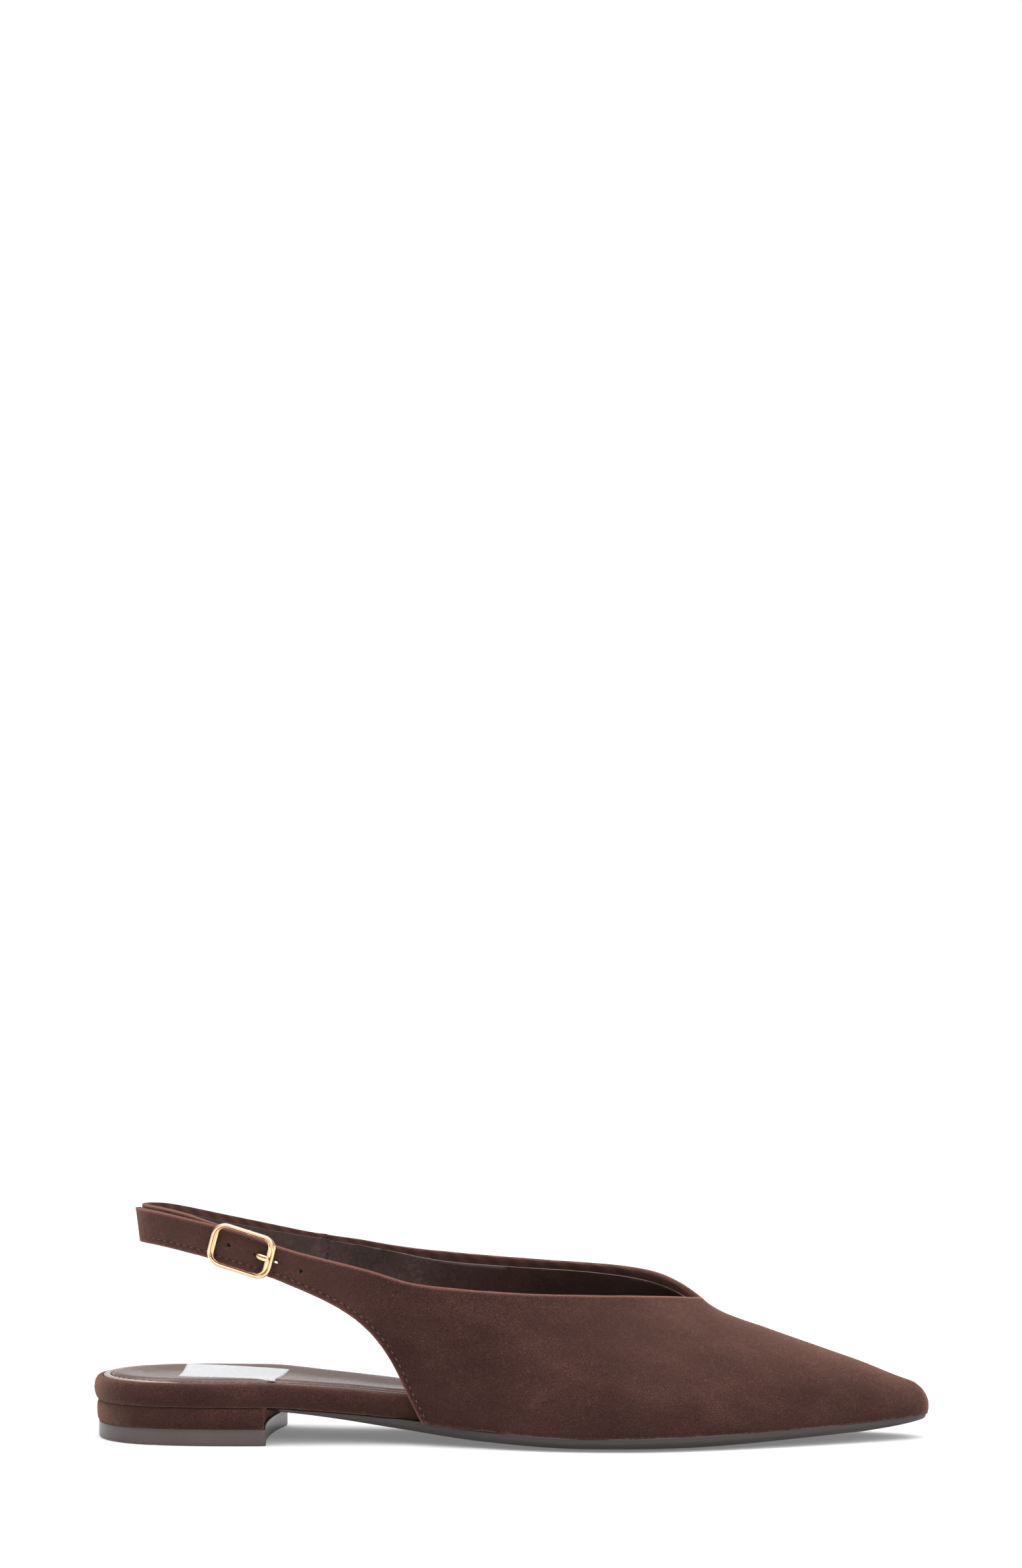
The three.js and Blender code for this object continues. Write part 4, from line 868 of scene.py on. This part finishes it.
class SHOE_OT_upper(Operator):
    """Suede upper with its folded topline, and the leather lining inside it"""
    bl_idname = "shoe.upper"
    bl_label = "Upper"

    def execute(self, context):
        settings = context.scene.shoe
        bm = upper_shell()
        make_lining(bm, "upper_lining", settings.fold, -60.3 * MM, 0.14 * MM)
        # Painted shade: dark discs behind the holes
        piece(hole_shade_discs(bm), "hole_shade_discs", ["needle hole"])
        bm.normal_update()
        relieve(bm, suede_relief)
        edges = near_edge(bm, "fold_mm") + near_edge(bm, "edge_mm")
        plain = [face for face in bm.faces if face.material_index == OUTER]
        for face in bm.faces:
            face.material_index = 0
        raise_nap(bm, edges, EDGE_NAP, 2, seed=3)
        raise_nap(bm, plain, SKIN_NAP, 1, seed=4)
        piece(bm, "upper_suede", ["upper suede", "nap", "edge nap"], ["upper"])
        return {"FINISHED"}


class SHOE_OT_sling(Operator):
    """Sling strap with its folded top edge, its lining and its seam to the inner quarter"""
    bl_idname = "shoe.sling"
    bl_label = "Sling strap"

    def execute(self, context):
        settings = context.scene.shoe
        bm = welded("sling_strap")
        mark_skins(bm, STRAP_WALL)
        crease_rims(bm)
        at_seam = SEAM - 1.5 * MM
        crease_where(bm, lambda edge: all(v.co.x > at_seam for v in edge.verts), 1.0)
        bm = rounded(bm, 3)
        for vert in bm.verts:
            if vert.co.y > 0:
                vert.co.x += 1.3 * MM * smooth(vert.co.x, SEAM - 3 * MM, SEAM - 0.7 * MM)
        bm.normal_update()
        measure_edges(bm, lambda rim: rim.normal.z < -0.35, lambda rim: rim.normal.z > 0.35)
        make_lining(bm, "sling_lining", 0.72 * settings.fold, -59.5 * MM, 0.0)
        edges = near_edge(bm, "fold_mm") + near_edge(bm, "edge_mm")
        for face in bm.faces:
            face.material_index = 0
        raise_nap(bm, edges, EDGE_NAP, 1, seed=5)
        piece(bm, "sling_suede", ["upper suede", "edge nap"], ["sling_strap"])
        return {"FINISHED"}


class SHOE_OT_platform(Operator):
    """Suede wrapped footbed with its rounded edge"""
    bl_idname = "shoe.platform"
    bl_label = "Footbed"

    def execute(self, context):
        bm = welded("footbed")
        crease_where(bm, is_sharp(55), 0.82)
        crease_where(bm, lambda edge: is_sharp(40)(edge) and any(
            face.normal.z < -0.7 for face in edge.link_faces), 0.97)
        bm = rounded(bm, 2)
        bm.normal_update()
        relieve(bm, lambda point: waver(point, 11 * MM, 0.14 * MM, 7.0))
        side = [face for face in bm.faces if abs(face.normal.z) < 0.93]
        raise_nap(bm, side, WRAP_NAP, 1, seed=6)
        piece(bm, "footbed_suede", ["wrap suede", "nap"], ["footbed"])
        return {"FINISHED"}


# Sock lining

STITCH_LINE = 1.9  # mm inside the sock's edge


def sock_relief(point, gap):
    """Height of the sock over its flat sheet at a point, with its distance in mm from the edge."""
    groove = -0.25 * bell(gap - STITCH_LINE, 0.4)
    roll = 0.5 * smooth(gap, 2.1, 4.2)
    cup = -0.9 * smooth(gap, 4.0, 20.0)
    sunk = smooth(point.x / MM, -119, -108) * (1 - smooth(point.x / MM, -76, -64))
    edge = -0.35 * (1 - smooth(gap, 1.9, 3.0)) * (0.2 + 0.8 * sunk)
    return (groove + roll + cup + edge) * MM


class SHOE_OT_sock(Operator):
    """Padded leather sock lining with its stitched margin"""
    bl_idname = "shoe.sock"
    bl_label = "Sock lining"

    def execute(self, context):
        bm = welded("sock_lining")
        bm.normal_update()
        top = [face for face in bm.faces if face.normal.z > 0.9]
        rim = {edge for face in top for edge in face.edges
               if any(other.normal.z < 0.9 for other in edge.link_faces)}
        across = [edge for face in top for edge in face.edges
                  if edge not in rim and edge.calc_length() > 8 * MM]
        bmesh.ops.subdivide_edges(bm, edges=list(set(across)), cuts=10, use_grid_fill=True)
        bm.normal_update()
        crease_where(bm, is_sharp(50), 0.8)
        bm = rounded(bm, 1)
        bm.normal_update()
        edge_points = []
        for edge in bm.edges:
            kinds = [face.normal.z > 0.8 for face in edge.link_faces]
            if sorted(kinds) == [False, True]:
                edge_points += points_on(edge, 0.3 * MM)
        layer = measure_from(bm, "inset_mm", edge_points)
        for level in (1.3, STITCH_LINE, 2.5, 3.4, 5.0, 8.0):
            cut_along(bm, layer, level)
        bm.normal_update()
        reflection_margin = bm.verts.layers.float.new("reflection_margin_mm")
        for vert in bm.verts:
            # Painted reflection: the distance runs 3 mm further ahead of the heel, so the pale margin
            # shows only at the heel
            vert[reflection_margin] = vert[layer] + 3 * smooth(vert.co.x / MM, -114, -100)
            if vert.normal.z > 0.6:
                wave = waver(vert.co, 12 * MM, 0.12 * MM, 9.0) * smooth(vert[layer], 3, 9)
                vert.co.z += sock_relief(vert.co, vert[layer]) + wave
        bm.normal_update()
        lines = level_lines(bm, layer, STITCH_LINE - 0.01, lambda face: face.normal.z > 0.3)
        obj = piece(bm, "sock_leather", ["sock"], ["sock_lining"])
        sew(max(lines, key=len), "sock_stitching", "sock thread", 2.7 * MM, 1.7 * MM, 0.42 * MM,
            sunk=0.05)
        return {"FINISHED"}


def sew(line, name, thread, pitch, length, width, smoothing=3, sunk=0.3):
    """A row of stitches along a line, with a needle hole between each two."""
    bm = bmesh.new()
    dice = random.Random(11)
    steps = paced(evened(line, smoothing), pitch / 2)
    for index, (point, along, out) in enumerate(steps):
        along = (along + out.cross(along) * dice.uniform(-0.08, 0.08)).normalized()
        side = out.cross(along).normalized()
        up = along.cross(side).normalized()
        turn = Matrix((along, side, up)).transposed().to_4x4()
        if index % 2 == 0:
            size = (length * dice.uniform(0.46, 0.53), width / 2, width * 0.4)
            place = point + up * width * (0.4 - sunk - dice.uniform(0, 0.08))
            rings = (10, 6)
        else:
            # A flat dark disc: painted shade in the needle hole
            size = (width * 0.55, width * 0.5, width * 0.1)
            place = point + up * width * 0.06
            rings = (8, 4)
        matrix = Matrix.Translation(place) @ turn @ Matrix.Diagonal((*size, 1))
        made = bmesh.ops.create_uvsphere(
            bm, u_segments=rings[0], v_segments=rings[1], radius=1, matrix=matrix)
        for face in {face for vert in made["verts"] for face in vert.link_faces}:
            face.material_index = index % 2
    return piece(bm, name, [thread, "needle hole"])


class SHOE_OT_stitching(Operator):
    """Edge stitching of the quarters, the outer strap and its tail"""
    bl_idname = "shoe.stitching"
    bl_label = "Stitching"

    def execute(self, context):
        settings = context.scene.shoe
        bm = upper_shell()
        relieve(bm, suede_relief)
        layer = bm.verts.layers.float.get("edge_mm")
        lines = level_lines(bm, layer, settings.stitch_inset / MM,
                            lambda face: face.material_index == OUTER)
        lines = [line for line in lines if span_of(line) > 20 * MM]
        for index, line in enumerate(sorted(lines, key=span_of, reverse=True)):
            sew(line, f"edge_stitching_{index + 1}", "thread", settings.stitch_pitch,
                0.56 * settings.stitch_pitch, 0.38 * MM, sunk=0.38)
        bm.free()
        return {"FINISHED"}


# Label on the sock

LABEL_CORNERS = [(-105.8, -10.6), (-74.3, -20.8), (-72.0, 10.0), (-105.8, 17.6)]  # x and y, mm
LABEL_LIFT = 0.3 * MM  # its face over the sock
LABEL_DROP = 0.5 * MM  # how far its edge is turned down into the sock


class SHOE_OT_label(Operator):
    """Blank woven label on the heel of the sock"""
    bl_idname = "shoe.label"
    bl_label = "Label"

    def execute(self, context):
        sock = bpy.data.objects["sock_leather"]
        surface = BVHTree.FromObject(sock, context.evaluated_depsgraph_get())
        bm = bmesh.new()
        verts = [bm.verts.new((x * MM, y * MM, 22 * MM)) for x, y in LABEL_CORNERS]
        bm.faces.new(verts)
        bmesh.ops.subdivide_edges(bm, edges=bm.edges, cuts=30, use_grid_fill=True)
        for vert in bm.verts:
            hit = surface.ray_cast(Vector((vert.co.x, vert.co.y, 0.05)), Vector((0, 0, -1)))[0]
            vert.co.z = hit.z
        for _ in range(14):
            bmesh.ops.smooth_vert(bm, verts=bm.verts, factor=0.5, use_axis_z=True)
        for vert in bm.verts:
            vert.co.z += LABEL_LIFT + waver(vert.co, 5 * MM, 0.06 * MM, 2.0)
        bm.normal_update()
        edges = [edge for edge in bm.edges if edge.is_boundary]
        grown = bmesh.ops.extrude_edge_only(bm, edges=edges)["geom"]
        for vert in verts_in(grown):
            vert.co.z -= LABEL_DROP
        bmesh.ops.recalc_face_normals(bm, faces=bm.faces)
        piece(bm, "heel_label", ["label"])
        return {"FINISHED"}


class SHOE_OT_heel(Operator):
    """Suede covered heel block and the top lift below it"""
    bl_idname = "shoe.heel"
    bl_label = "Heel"

    def execute(self, context):
        block = welded("heel_block")
        crease_where(block, is_sharp(35), 1.0)
        block = rounded(block, 2)
        block.normal_update()
        for vert in block.verts:
            height = max(-0.8, min(0.8, vert.normal.z)) / 0.8
            vert.co.z += 0.25 * MM * height
        side = [face for face in block.faces if abs(face.normal.z) < 0.8]
        raise_nap(block, side, WRAP_NAP, 1, seed=7)
        piece(block, "heel_block_suede", ["wrap suede", "nap"], ["heel_block"])
        lift = welded("top_lift")
        crease_where(lift, is_sharp(35), 0.96)
        lift = rounded(lift, 2)
        piece(lift, "top_lift_rubber", ["top lift"], ["top_lift"])
        return {"FINISHED"}


class SHOE_OT_outsole(Operator):
    """Moulded outsole with its smooth edge band and textured bevel"""
    bl_idname = "shoe.outsole"
    bl_label = "Outsole"

    def execute(self, context):
        bm = welded("outsole")
        crease_where(bm, is_sharp(18), 0.9)
        crease_where(bm, lambda edge: is_sharp(40)(edge) and any(
            face.normal.z > 0.7 for face in edge.link_faces), 1.0)
        bm = rounded(bm, 2)
        bm.normal_update()
        for vert in bm.verts:
            vert.co.z += 0.15 * MM * smooth(vert.normal.z, 0.3, 0.8)
        points = []
        for edge in bm.edges:
            heights = sorted(face.normal.z for face in edge.link_faces)
            if heights[0] < 0.6 < heights[1]:
                a, b = (vert.co for vert in edge.verts)
                points += [a.lerp(b, k / 6) for k in range(6)]
        measure_from(bm, "down_mm", points)
        piece(bm, "outsole_rubber", ["outsole"], ["outsole"])
        return {"FINISHED"}


# Buckle

BUCKLE_LENGTH = 22.1
BUCKLE_HEIGHT = 14.3
BUCKLE_CORNER = 4.8
BUCKLE_LIFT = 0.55
BUCKLE_DROP = 0.12
BAR_DEPTH = 2.0  # centre bar behind the strap's face
# Section through the frame from its back round the outside: how far in from the outline at the
# side bars and at the rails, and how high above the frame's back, in mm
FRAME_SECTION = [
    {"side": 0.3, "rail": 0.25, "up": 0.0},
    {"side": 0.05, "rail": 0.05, "up": 0.3},
    {"side": 0.0, "rail": 0.0, "up": 0.9},
    {"side": 0.12, "rail": 0.1, "up": 1.5},
    {"side": 0.45, "rail": 0.4, "up": 1.86},
    {"side": 0.8, "rail": 0.75, "up": 1.9},
    {"side": 1.15, "rail": 1.05, "up": 1.62},
    {"side": 1.32, "rail": 1.25, "up": 1.1},
    {"side": 1.5, "rail": 1.36, "up": 0.86},
    {"side": 2.0, "rail": 1.4, "up": 1.1},
    {"side": 2.6, "rail": 1.4, "up": 1.05},
    {"side": 2.95, "rail": 1.4, "up": 0.7},
    {"side": 3.0, "rail": 1.4, "up": 0.35},
    {"side": 2.7, "rail": 1.2, "up": 0.0},
]
FRAME_POINTS = 112


def on_outline(share, length, height, corner):
    """Point at a share of the way round a rectangle with rounded corners."""
    flat, tall = length / 2 - corner, height / 2 - corner
    arc = corner * math.pi / 2
    runs = [2 * flat, arc, 2 * tall, arc] * 2
    left = share * sum(runs)
    index = 0
    while index < 7 and left > runs[index]:
        left -= runs[index]
        index += 1
    quarter, sign = index % 4, 1 if index < 4 else -1
    if quarter == 0:
        x, y = -flat + left, height / 2
    elif quarter == 1:
        turn = left / corner
        x, y = flat + corner * math.sin(turn), tall + corner * math.cos(turn)
    elif quarter == 2:
        x, y = length / 2, tall - left
    else:
        turn = left / corner
        x, y = flat + corner * math.cos(turn), -tall - corner * math.sin(turn)
    return sign * x, sign * y


def at_buckle(along, across, out):
    """A point of the buckle's own plane, in mm, as a place on the shoe."""
    return (BUCKLE_MIDDLE + BUCKLE_ALONG * along * MM + BUCKLE_ACROSS * across * MM
            + BUCKLE_OUT * out * MM)


def frame_ring(verts, row):
    """Moves a ring of vertices on to one row of the frame's section."""
    length = BUCKLE_LENGTH - 2 * row["side"]
    height = BUCKLE_HEIGHT - 2 * row["rail"]
    corner = max(1.0, BUCKLE_CORNER - 0.75 * row["side"])
    for index, vert in enumerate(verts):
        x, y = on_outline(index / len(verts), length, height, corner)
        if x < 0:
            x -= 0.36 * max(0.0, row["side"] - 1.2) * smooth(-x, 5, 8)
        vert.co = at_buckle(x, y - BUCKLE_DROP, BUCKLE_LIFT + row["up"])


def prong_ring(verts, row, run):
    """Moves a ring of vertices round one point of the prong's middle line."""
    for index, vert in enumerate(verts):
        turn = math.tau * index / len(verts)
        across = row["wide"] * math.cos(turn)
        lift = row["thick"] * math.sin(turn)
        vert.co = at_buckle(row["along"] - run.y * lift, across, row["out"] + run.x * lift)


def next_ring(bm, edges, ring):
    """Extrudes a ring of edges and gives the new edges, and the new vertices in the same order."""
    grown = bmesh.ops.extrude_edge_only(bm, edges=edges)["geom"]
    fresh = set(verts_in(grown))
    edges = [item for item in grown
             if isinstance(item, bmesh.types.BMEdge) and fresh.issuperset(item.verts)]
    ring = [next(edge.other_vert(vert) for edge in vert.link_edges
                 if edge.other_vert(vert) in fresh) for vert in ring]
    return edges, ring


def rod(bm, start, end, radius):
    """A round rod between two places."""
    run = end - start
    turn = run.to_track_quat("Z", "Y").to_matrix().to_4x4()
    place = Matrix.Translation((start + end) / 2) @ turn
    bmesh.ops.create_cone(
        bm, cap_ends=True, segments=16, radius1=radius, radius2=radius, depth=run.length,
        matrix=place)


# The prong's middle line in the buckle's plane, with its half width and half thickness, in mm
PRONG_LINE = [
    {"along": -1.25, "out": -2.95, "wide": 0.45, "thick": 0.35},
    {"along": -0.4, "out": -3.4, "wide": 0.55, "thick": 0.45},
    {"along": 0.9, "out": -3.3, "wide": 0.6, "thick": 0.5},
    {"along": 2.3, "out": -2.9, "wide": 0.6, "thick": 0.5},
    {"along": 3.5, "out": -2.0, "wide": 0.65, "thick": 0.5},
    {"along": 4.3, "out": -0.8, "wide": 0.75, "thick": 0.55},
    {"along": 4.9, "out": 0.4, "wide": 0.9, "thick": 0.6},
    {"along": 5.5, "out": 1.4, "wide": 0.98, "thick": 0.62},
    {"along": 6.5, "out": 2.0, "wide": 1.0, "thick": 0.62},
    {"along": 7.7, "out": 2.3, "wide": 1.0, "thick": 0.6},
    {"along": 8.7, "out": 2.35, "wide": 0.95, "thick": 0.55},
    {"along": 9.5, "out": 2.2, "wide": 0.75, "thick": 0.4},
]


def frame_body():
    """The buckle's frame, with the bar behind the strap and the posts that carry it."""
    bm = bmesh.new()
    ring = bmesh.ops.create_circle(bm, segments=FRAME_POINTS, radius=10 * MM)["verts"]
    first = edges = list(bm.edges)
    frame_ring(ring, FRAME_SECTION[0])
    for row in FRAME_SECTION[1:]:
        edges, ring = next_ring(bm, edges, ring)
        frame_ring(ring, row)
    bmesh.ops.bridge_loops(bm, edges=first + edges)
    bmesh.ops.recalc_face_normals(bm, faces=bm.faces)
    bm = rounded(bm, 1)
    span = BUCKLE_HEIGHT / 2 - 0.95
    rod(bm, at_buckle(0, -span, -BAR_DEPTH), at_buckle(0, span, -BAR_DEPTH), 0.5 * MM)
    for side in (-span, span):
        post = at_buckle(0, side, -BAR_DEPTH), at_buckle(0, side, BUCKLE_LIFT + 0.8)
        rod(bm, *post, 0.35 * MM)
    return bm


def prong():
    """The prong, from its hook round the centre bar to its tip on the ledge of the side bar."""
    bm = bmesh.new()
    ring = bmesh.ops.create_circle(bm, segments=16, radius=1 * MM)["verts"]
    first = edges = list(bm.edges)
    for index, row in enumerate(PRONG_LINE):
        if index:
            edges, ring = next_ring(bm, edges, ring)
        before = PRONG_LINE[max(index - 1, 0)]
        after = PRONG_LINE[min(index + 1, len(PRONG_LINE) - 1)]
        run = Vector((after["along"] - before["along"], after["out"] - before["out"])).normalized()
        prong_ring(ring, row, run)
    bmesh.ops.holes_fill(bm, edges=first + edges, sides=0)
    bmesh.ops.recalc_face_normals(bm, faces=bm.faces)
    return rounded(bm, 2)


class SHOE_OT_buckle(Operator):
    """Plated buckle frame with its raised rim and inner ledges, its bar and its prong"""
    bl_idname = "shoe.buckle"
    bl_label = "Buckle"

    def execute(self, context):
        piece(frame_body(), "buckle_frame_gold", ["gold"], ["buckle_frame"])
        piece(prong(), "buckle_prong_gold", ["gold"], ["buckle_prong"])
        return {"FINISHED"}


# Stage

TARGET = Vector((0, 0, 38)) * MM
CAMERA_TURN = math.radians(2.0)
CAMERA_TILT = math.radians(6.7)
CAMERA_DISTANCE = 1600 * MM
IMAGE_WIDTH, IMAGE_HEIGHT = 1552, 2380
PIXELS_PER_MM = 4.743
TARGET_PIXEL = (776, 2002)


class SHOE_OT_stage(Operator):
    """Camera at the photograph's angle, white paper floor and soft light"""
    bl_idname = "shoe.stage"
    bl_label = "Stage"

    def execute(self, context):
        back = Vector((math.sin(CAMERA_TURN) * math.cos(CAMERA_TILT),
                       -math.cos(CAMERA_TURN) * math.cos(CAMERA_TILT),
                       math.sin(CAMERA_TILT)))
        data = bpy.data.cameras.new("camera")
        camera = bpy.data.objects.new("camera", data)
        context.scene.collection.objects.link(camera)
        camera.location = TARGET + back * CAMERA_DISTANCE
        camera.rotation_euler = back.to_track_quat("Z", "Y").to_euler()
        data.sensor_fit = "HORIZONTAL"
        data.sensor_width = 36
        view_width = IMAGE_WIDTH / PIXELS_PER_MM * MM
        data.lens = data.sensor_width * CAMERA_DISTANCE / view_width
        data.shift_x = (IMAGE_WIDTH / 2 - TARGET_PIXEL[0]) / IMAGE_WIDTH
        data.shift_y = (TARGET_PIXEL[1] - IMAGE_HEIGHT / 2) / IMAGE_WIDTH
        data.clip_start = 0.05
        data.clip_end = 50
        context.scene.camera = camera

        bm = bmesh.new()
        bmesh.ops.create_grid(bm, x_segments=8, y_segments=8, size=8)
        mesh = bpy.data.meshes.new("paper_floor")
        bm.to_mesh(mesh)
        bm.free()
        mesh.materials.append(finish("paper"))
        floor = bpy.data.objects.new("paper_floor", mesh)
        mesh.transform(Matrix.Translation((0, 0, -0.05 * MM)))
        context.scene.collection.objects.link(floor)

        world = bpy.data.worlds.new("studio")
        world.use_nodes = True
        tree = world.node_tree
        # The studio is white above and beyond the shoe and darker behind the camera
        towards = add(tree, "ShaderNodeTexCoord").outputs["Generated"]
        axes = add(tree, "ShaderNodeSeparateXYZ", {0: towards})
        level = sums(tree, (axes.outputs["Y"], 1.0), (axes.outputs["Z"], 0.9))
        front = spread(tree, level, -0.75, 0.0, 0.42, 1.0)
        # White to just above the picture, then a darker wall, and the white ceiling
        wall = spread(tree, axes.outputs["Z"], 0.15, 0.22, 0.0, 0.6)
        ceiling = spread(tree, axes.outputs["Z"], 0.4, 0.65, 0.0, 0.6)
        strength = product(tree, front, sums(tree, (ceiling, 1.0), (wall, -1.0)))
        strength = sums(tree, (strength, 1.0), (front, 1.0))
        background = tree.nodes["Background"]
        background.inputs["Color"].default_value = (1, 1, 1, 1)
        tree.links.new(strength, background.inputs["Strength"])
        context.scene.world = world
        context.scene.view_settings.view_transform = "Standard"
        for name, place, size, power in (
                ("overhead_softbox", (-0.05, -0.1, 1.3), 2.0, 27.0),
                ("front_softbox", (0.6, -1.4, 0.9), 0.8, 5.0),
                ("side_softbox", (1.3, -0.5, 0.3), 0.5, 2.3)):
            light = bpy.data.lights.new(name, "AREA")
            light.size = size
            light.energy = power
            lamp = bpy.data.objects.new(name, light)
            lamp.location = place
            lamp.rotation_euler = (Vector(place) - TARGET).to_track_quat("Z", "Y").to_euler()
            context.scene.collection.objects.link(lamp)
        return {"FINISHED"}


def colour(name, about, code):
    """A colour property whose default is an sRGB hex code."""
    return FloatVectorProperty(
        name=name, description=about, subtype="COLOR", size=3, min=0, max=1, default=linear(code))


def length(name, about, value):
    """A length property in metres."""
    return FloatProperty(
        name=name, description=about, subtype="DISTANCE", unit="LENGTH", default=value,
        min=0.1 * MM, max=20 * MM, precision=5)


class ShoeSettings(PropertyGroup):
    suede: colour("Suede", "Middle tone of the suede", "3D2723")
    # The suede's shade and light tones also paint shade and light: darker where it faces down and along
    # the stitches, lighter where it faces up, on the straps and at the edges
    suede_shade: colour("Suede shade", "Tone where the nap lies away from the light", "291917")
    suede_light: colour("Suede light", "Tone of raised nap and of cut edges", "694841")
    lining: colour("Lining", "Smooth leather inside the upper", "3A2824")
    sock: colour("Sock", "Leather the foot stands on", "563D34")
    label: colour("Label", "Woven label on the heel", "CECFD0")
    sole: colour("Outsole", "Moulded outsole", "302725")
    lift: colour("Top lift", "Lowest layer of the heel", "4A3E3D")
    gold: colour("Buckle", "Plating of the buckle", "E6C7A0")
    thread: colour("Thread", "Stitching on the suede", "674A40")
    fold: length("Fold", "Suede that is turned in along the topline", 2.9 * MM)
    stitch_inset: length("Stitch inset", "Stitching inside the edge", STITCH_INSET)
    stitch_pitch: length("Stitch pitch", "From one stitch to the next", 2.5 * MM)


class SHOE_PT_panel(Panel):
    """Buttons that build the shoe, and the sizes and colours they use"""
    bl_idname = "SHOE_PT_panel"
    bl_label = "Slingback flat"
    bl_space_type = "VIEW_3D"
    bl_region_type = "UI"
    bl_category = "Shoe"

    def draw(self, context):
        for name in ShoeSettings.__annotations__:
            self.layout.prop(context.scene.shoe, name)
        for operator in OPERATORS:
            self.layout.operator(operator.bl_idname)


OPERATORS = (
    SHOE_OT_stage, SHOE_OT_upper, SHOE_OT_sling, SHOE_OT_platform, SHOE_OT_sock, SHOE_OT_label,
    SHOE_OT_heel, SHOE_OT_outsole, SHOE_OT_buckle, SHOE_OT_stitching,
)
CLASSES = (ShoeSettings, *OPERATORS, SHOE_PT_panel)


def register():
    for item in CLASSES:
        bpy.utils.register_class(item)
    bpy.types.Scene.shoe = PointerProperty(type=ShoeSettings)


def unregister():
    del bpy.types.Scene.shoe
    for item in reversed(CLASSES):
        bpy.utils.unregister_class(item)


def main():
    """Builds every piece."""
    register()
    bpy.ops.shoe.stage()
    bpy.ops.shoe.upper()
    bpy.ops.shoe.sling()
    bpy.ops.shoe.platform()
    bpy.ops.shoe.sock()
    bpy.ops.shoe.label()
    bpy.ops.shoe.heel()
    bpy.ops.shoe.outsole()
    bpy.ops.shoe.buckle()
    bpy.ops.shoe.stitching()


if __name__ == "__main__":
    main()
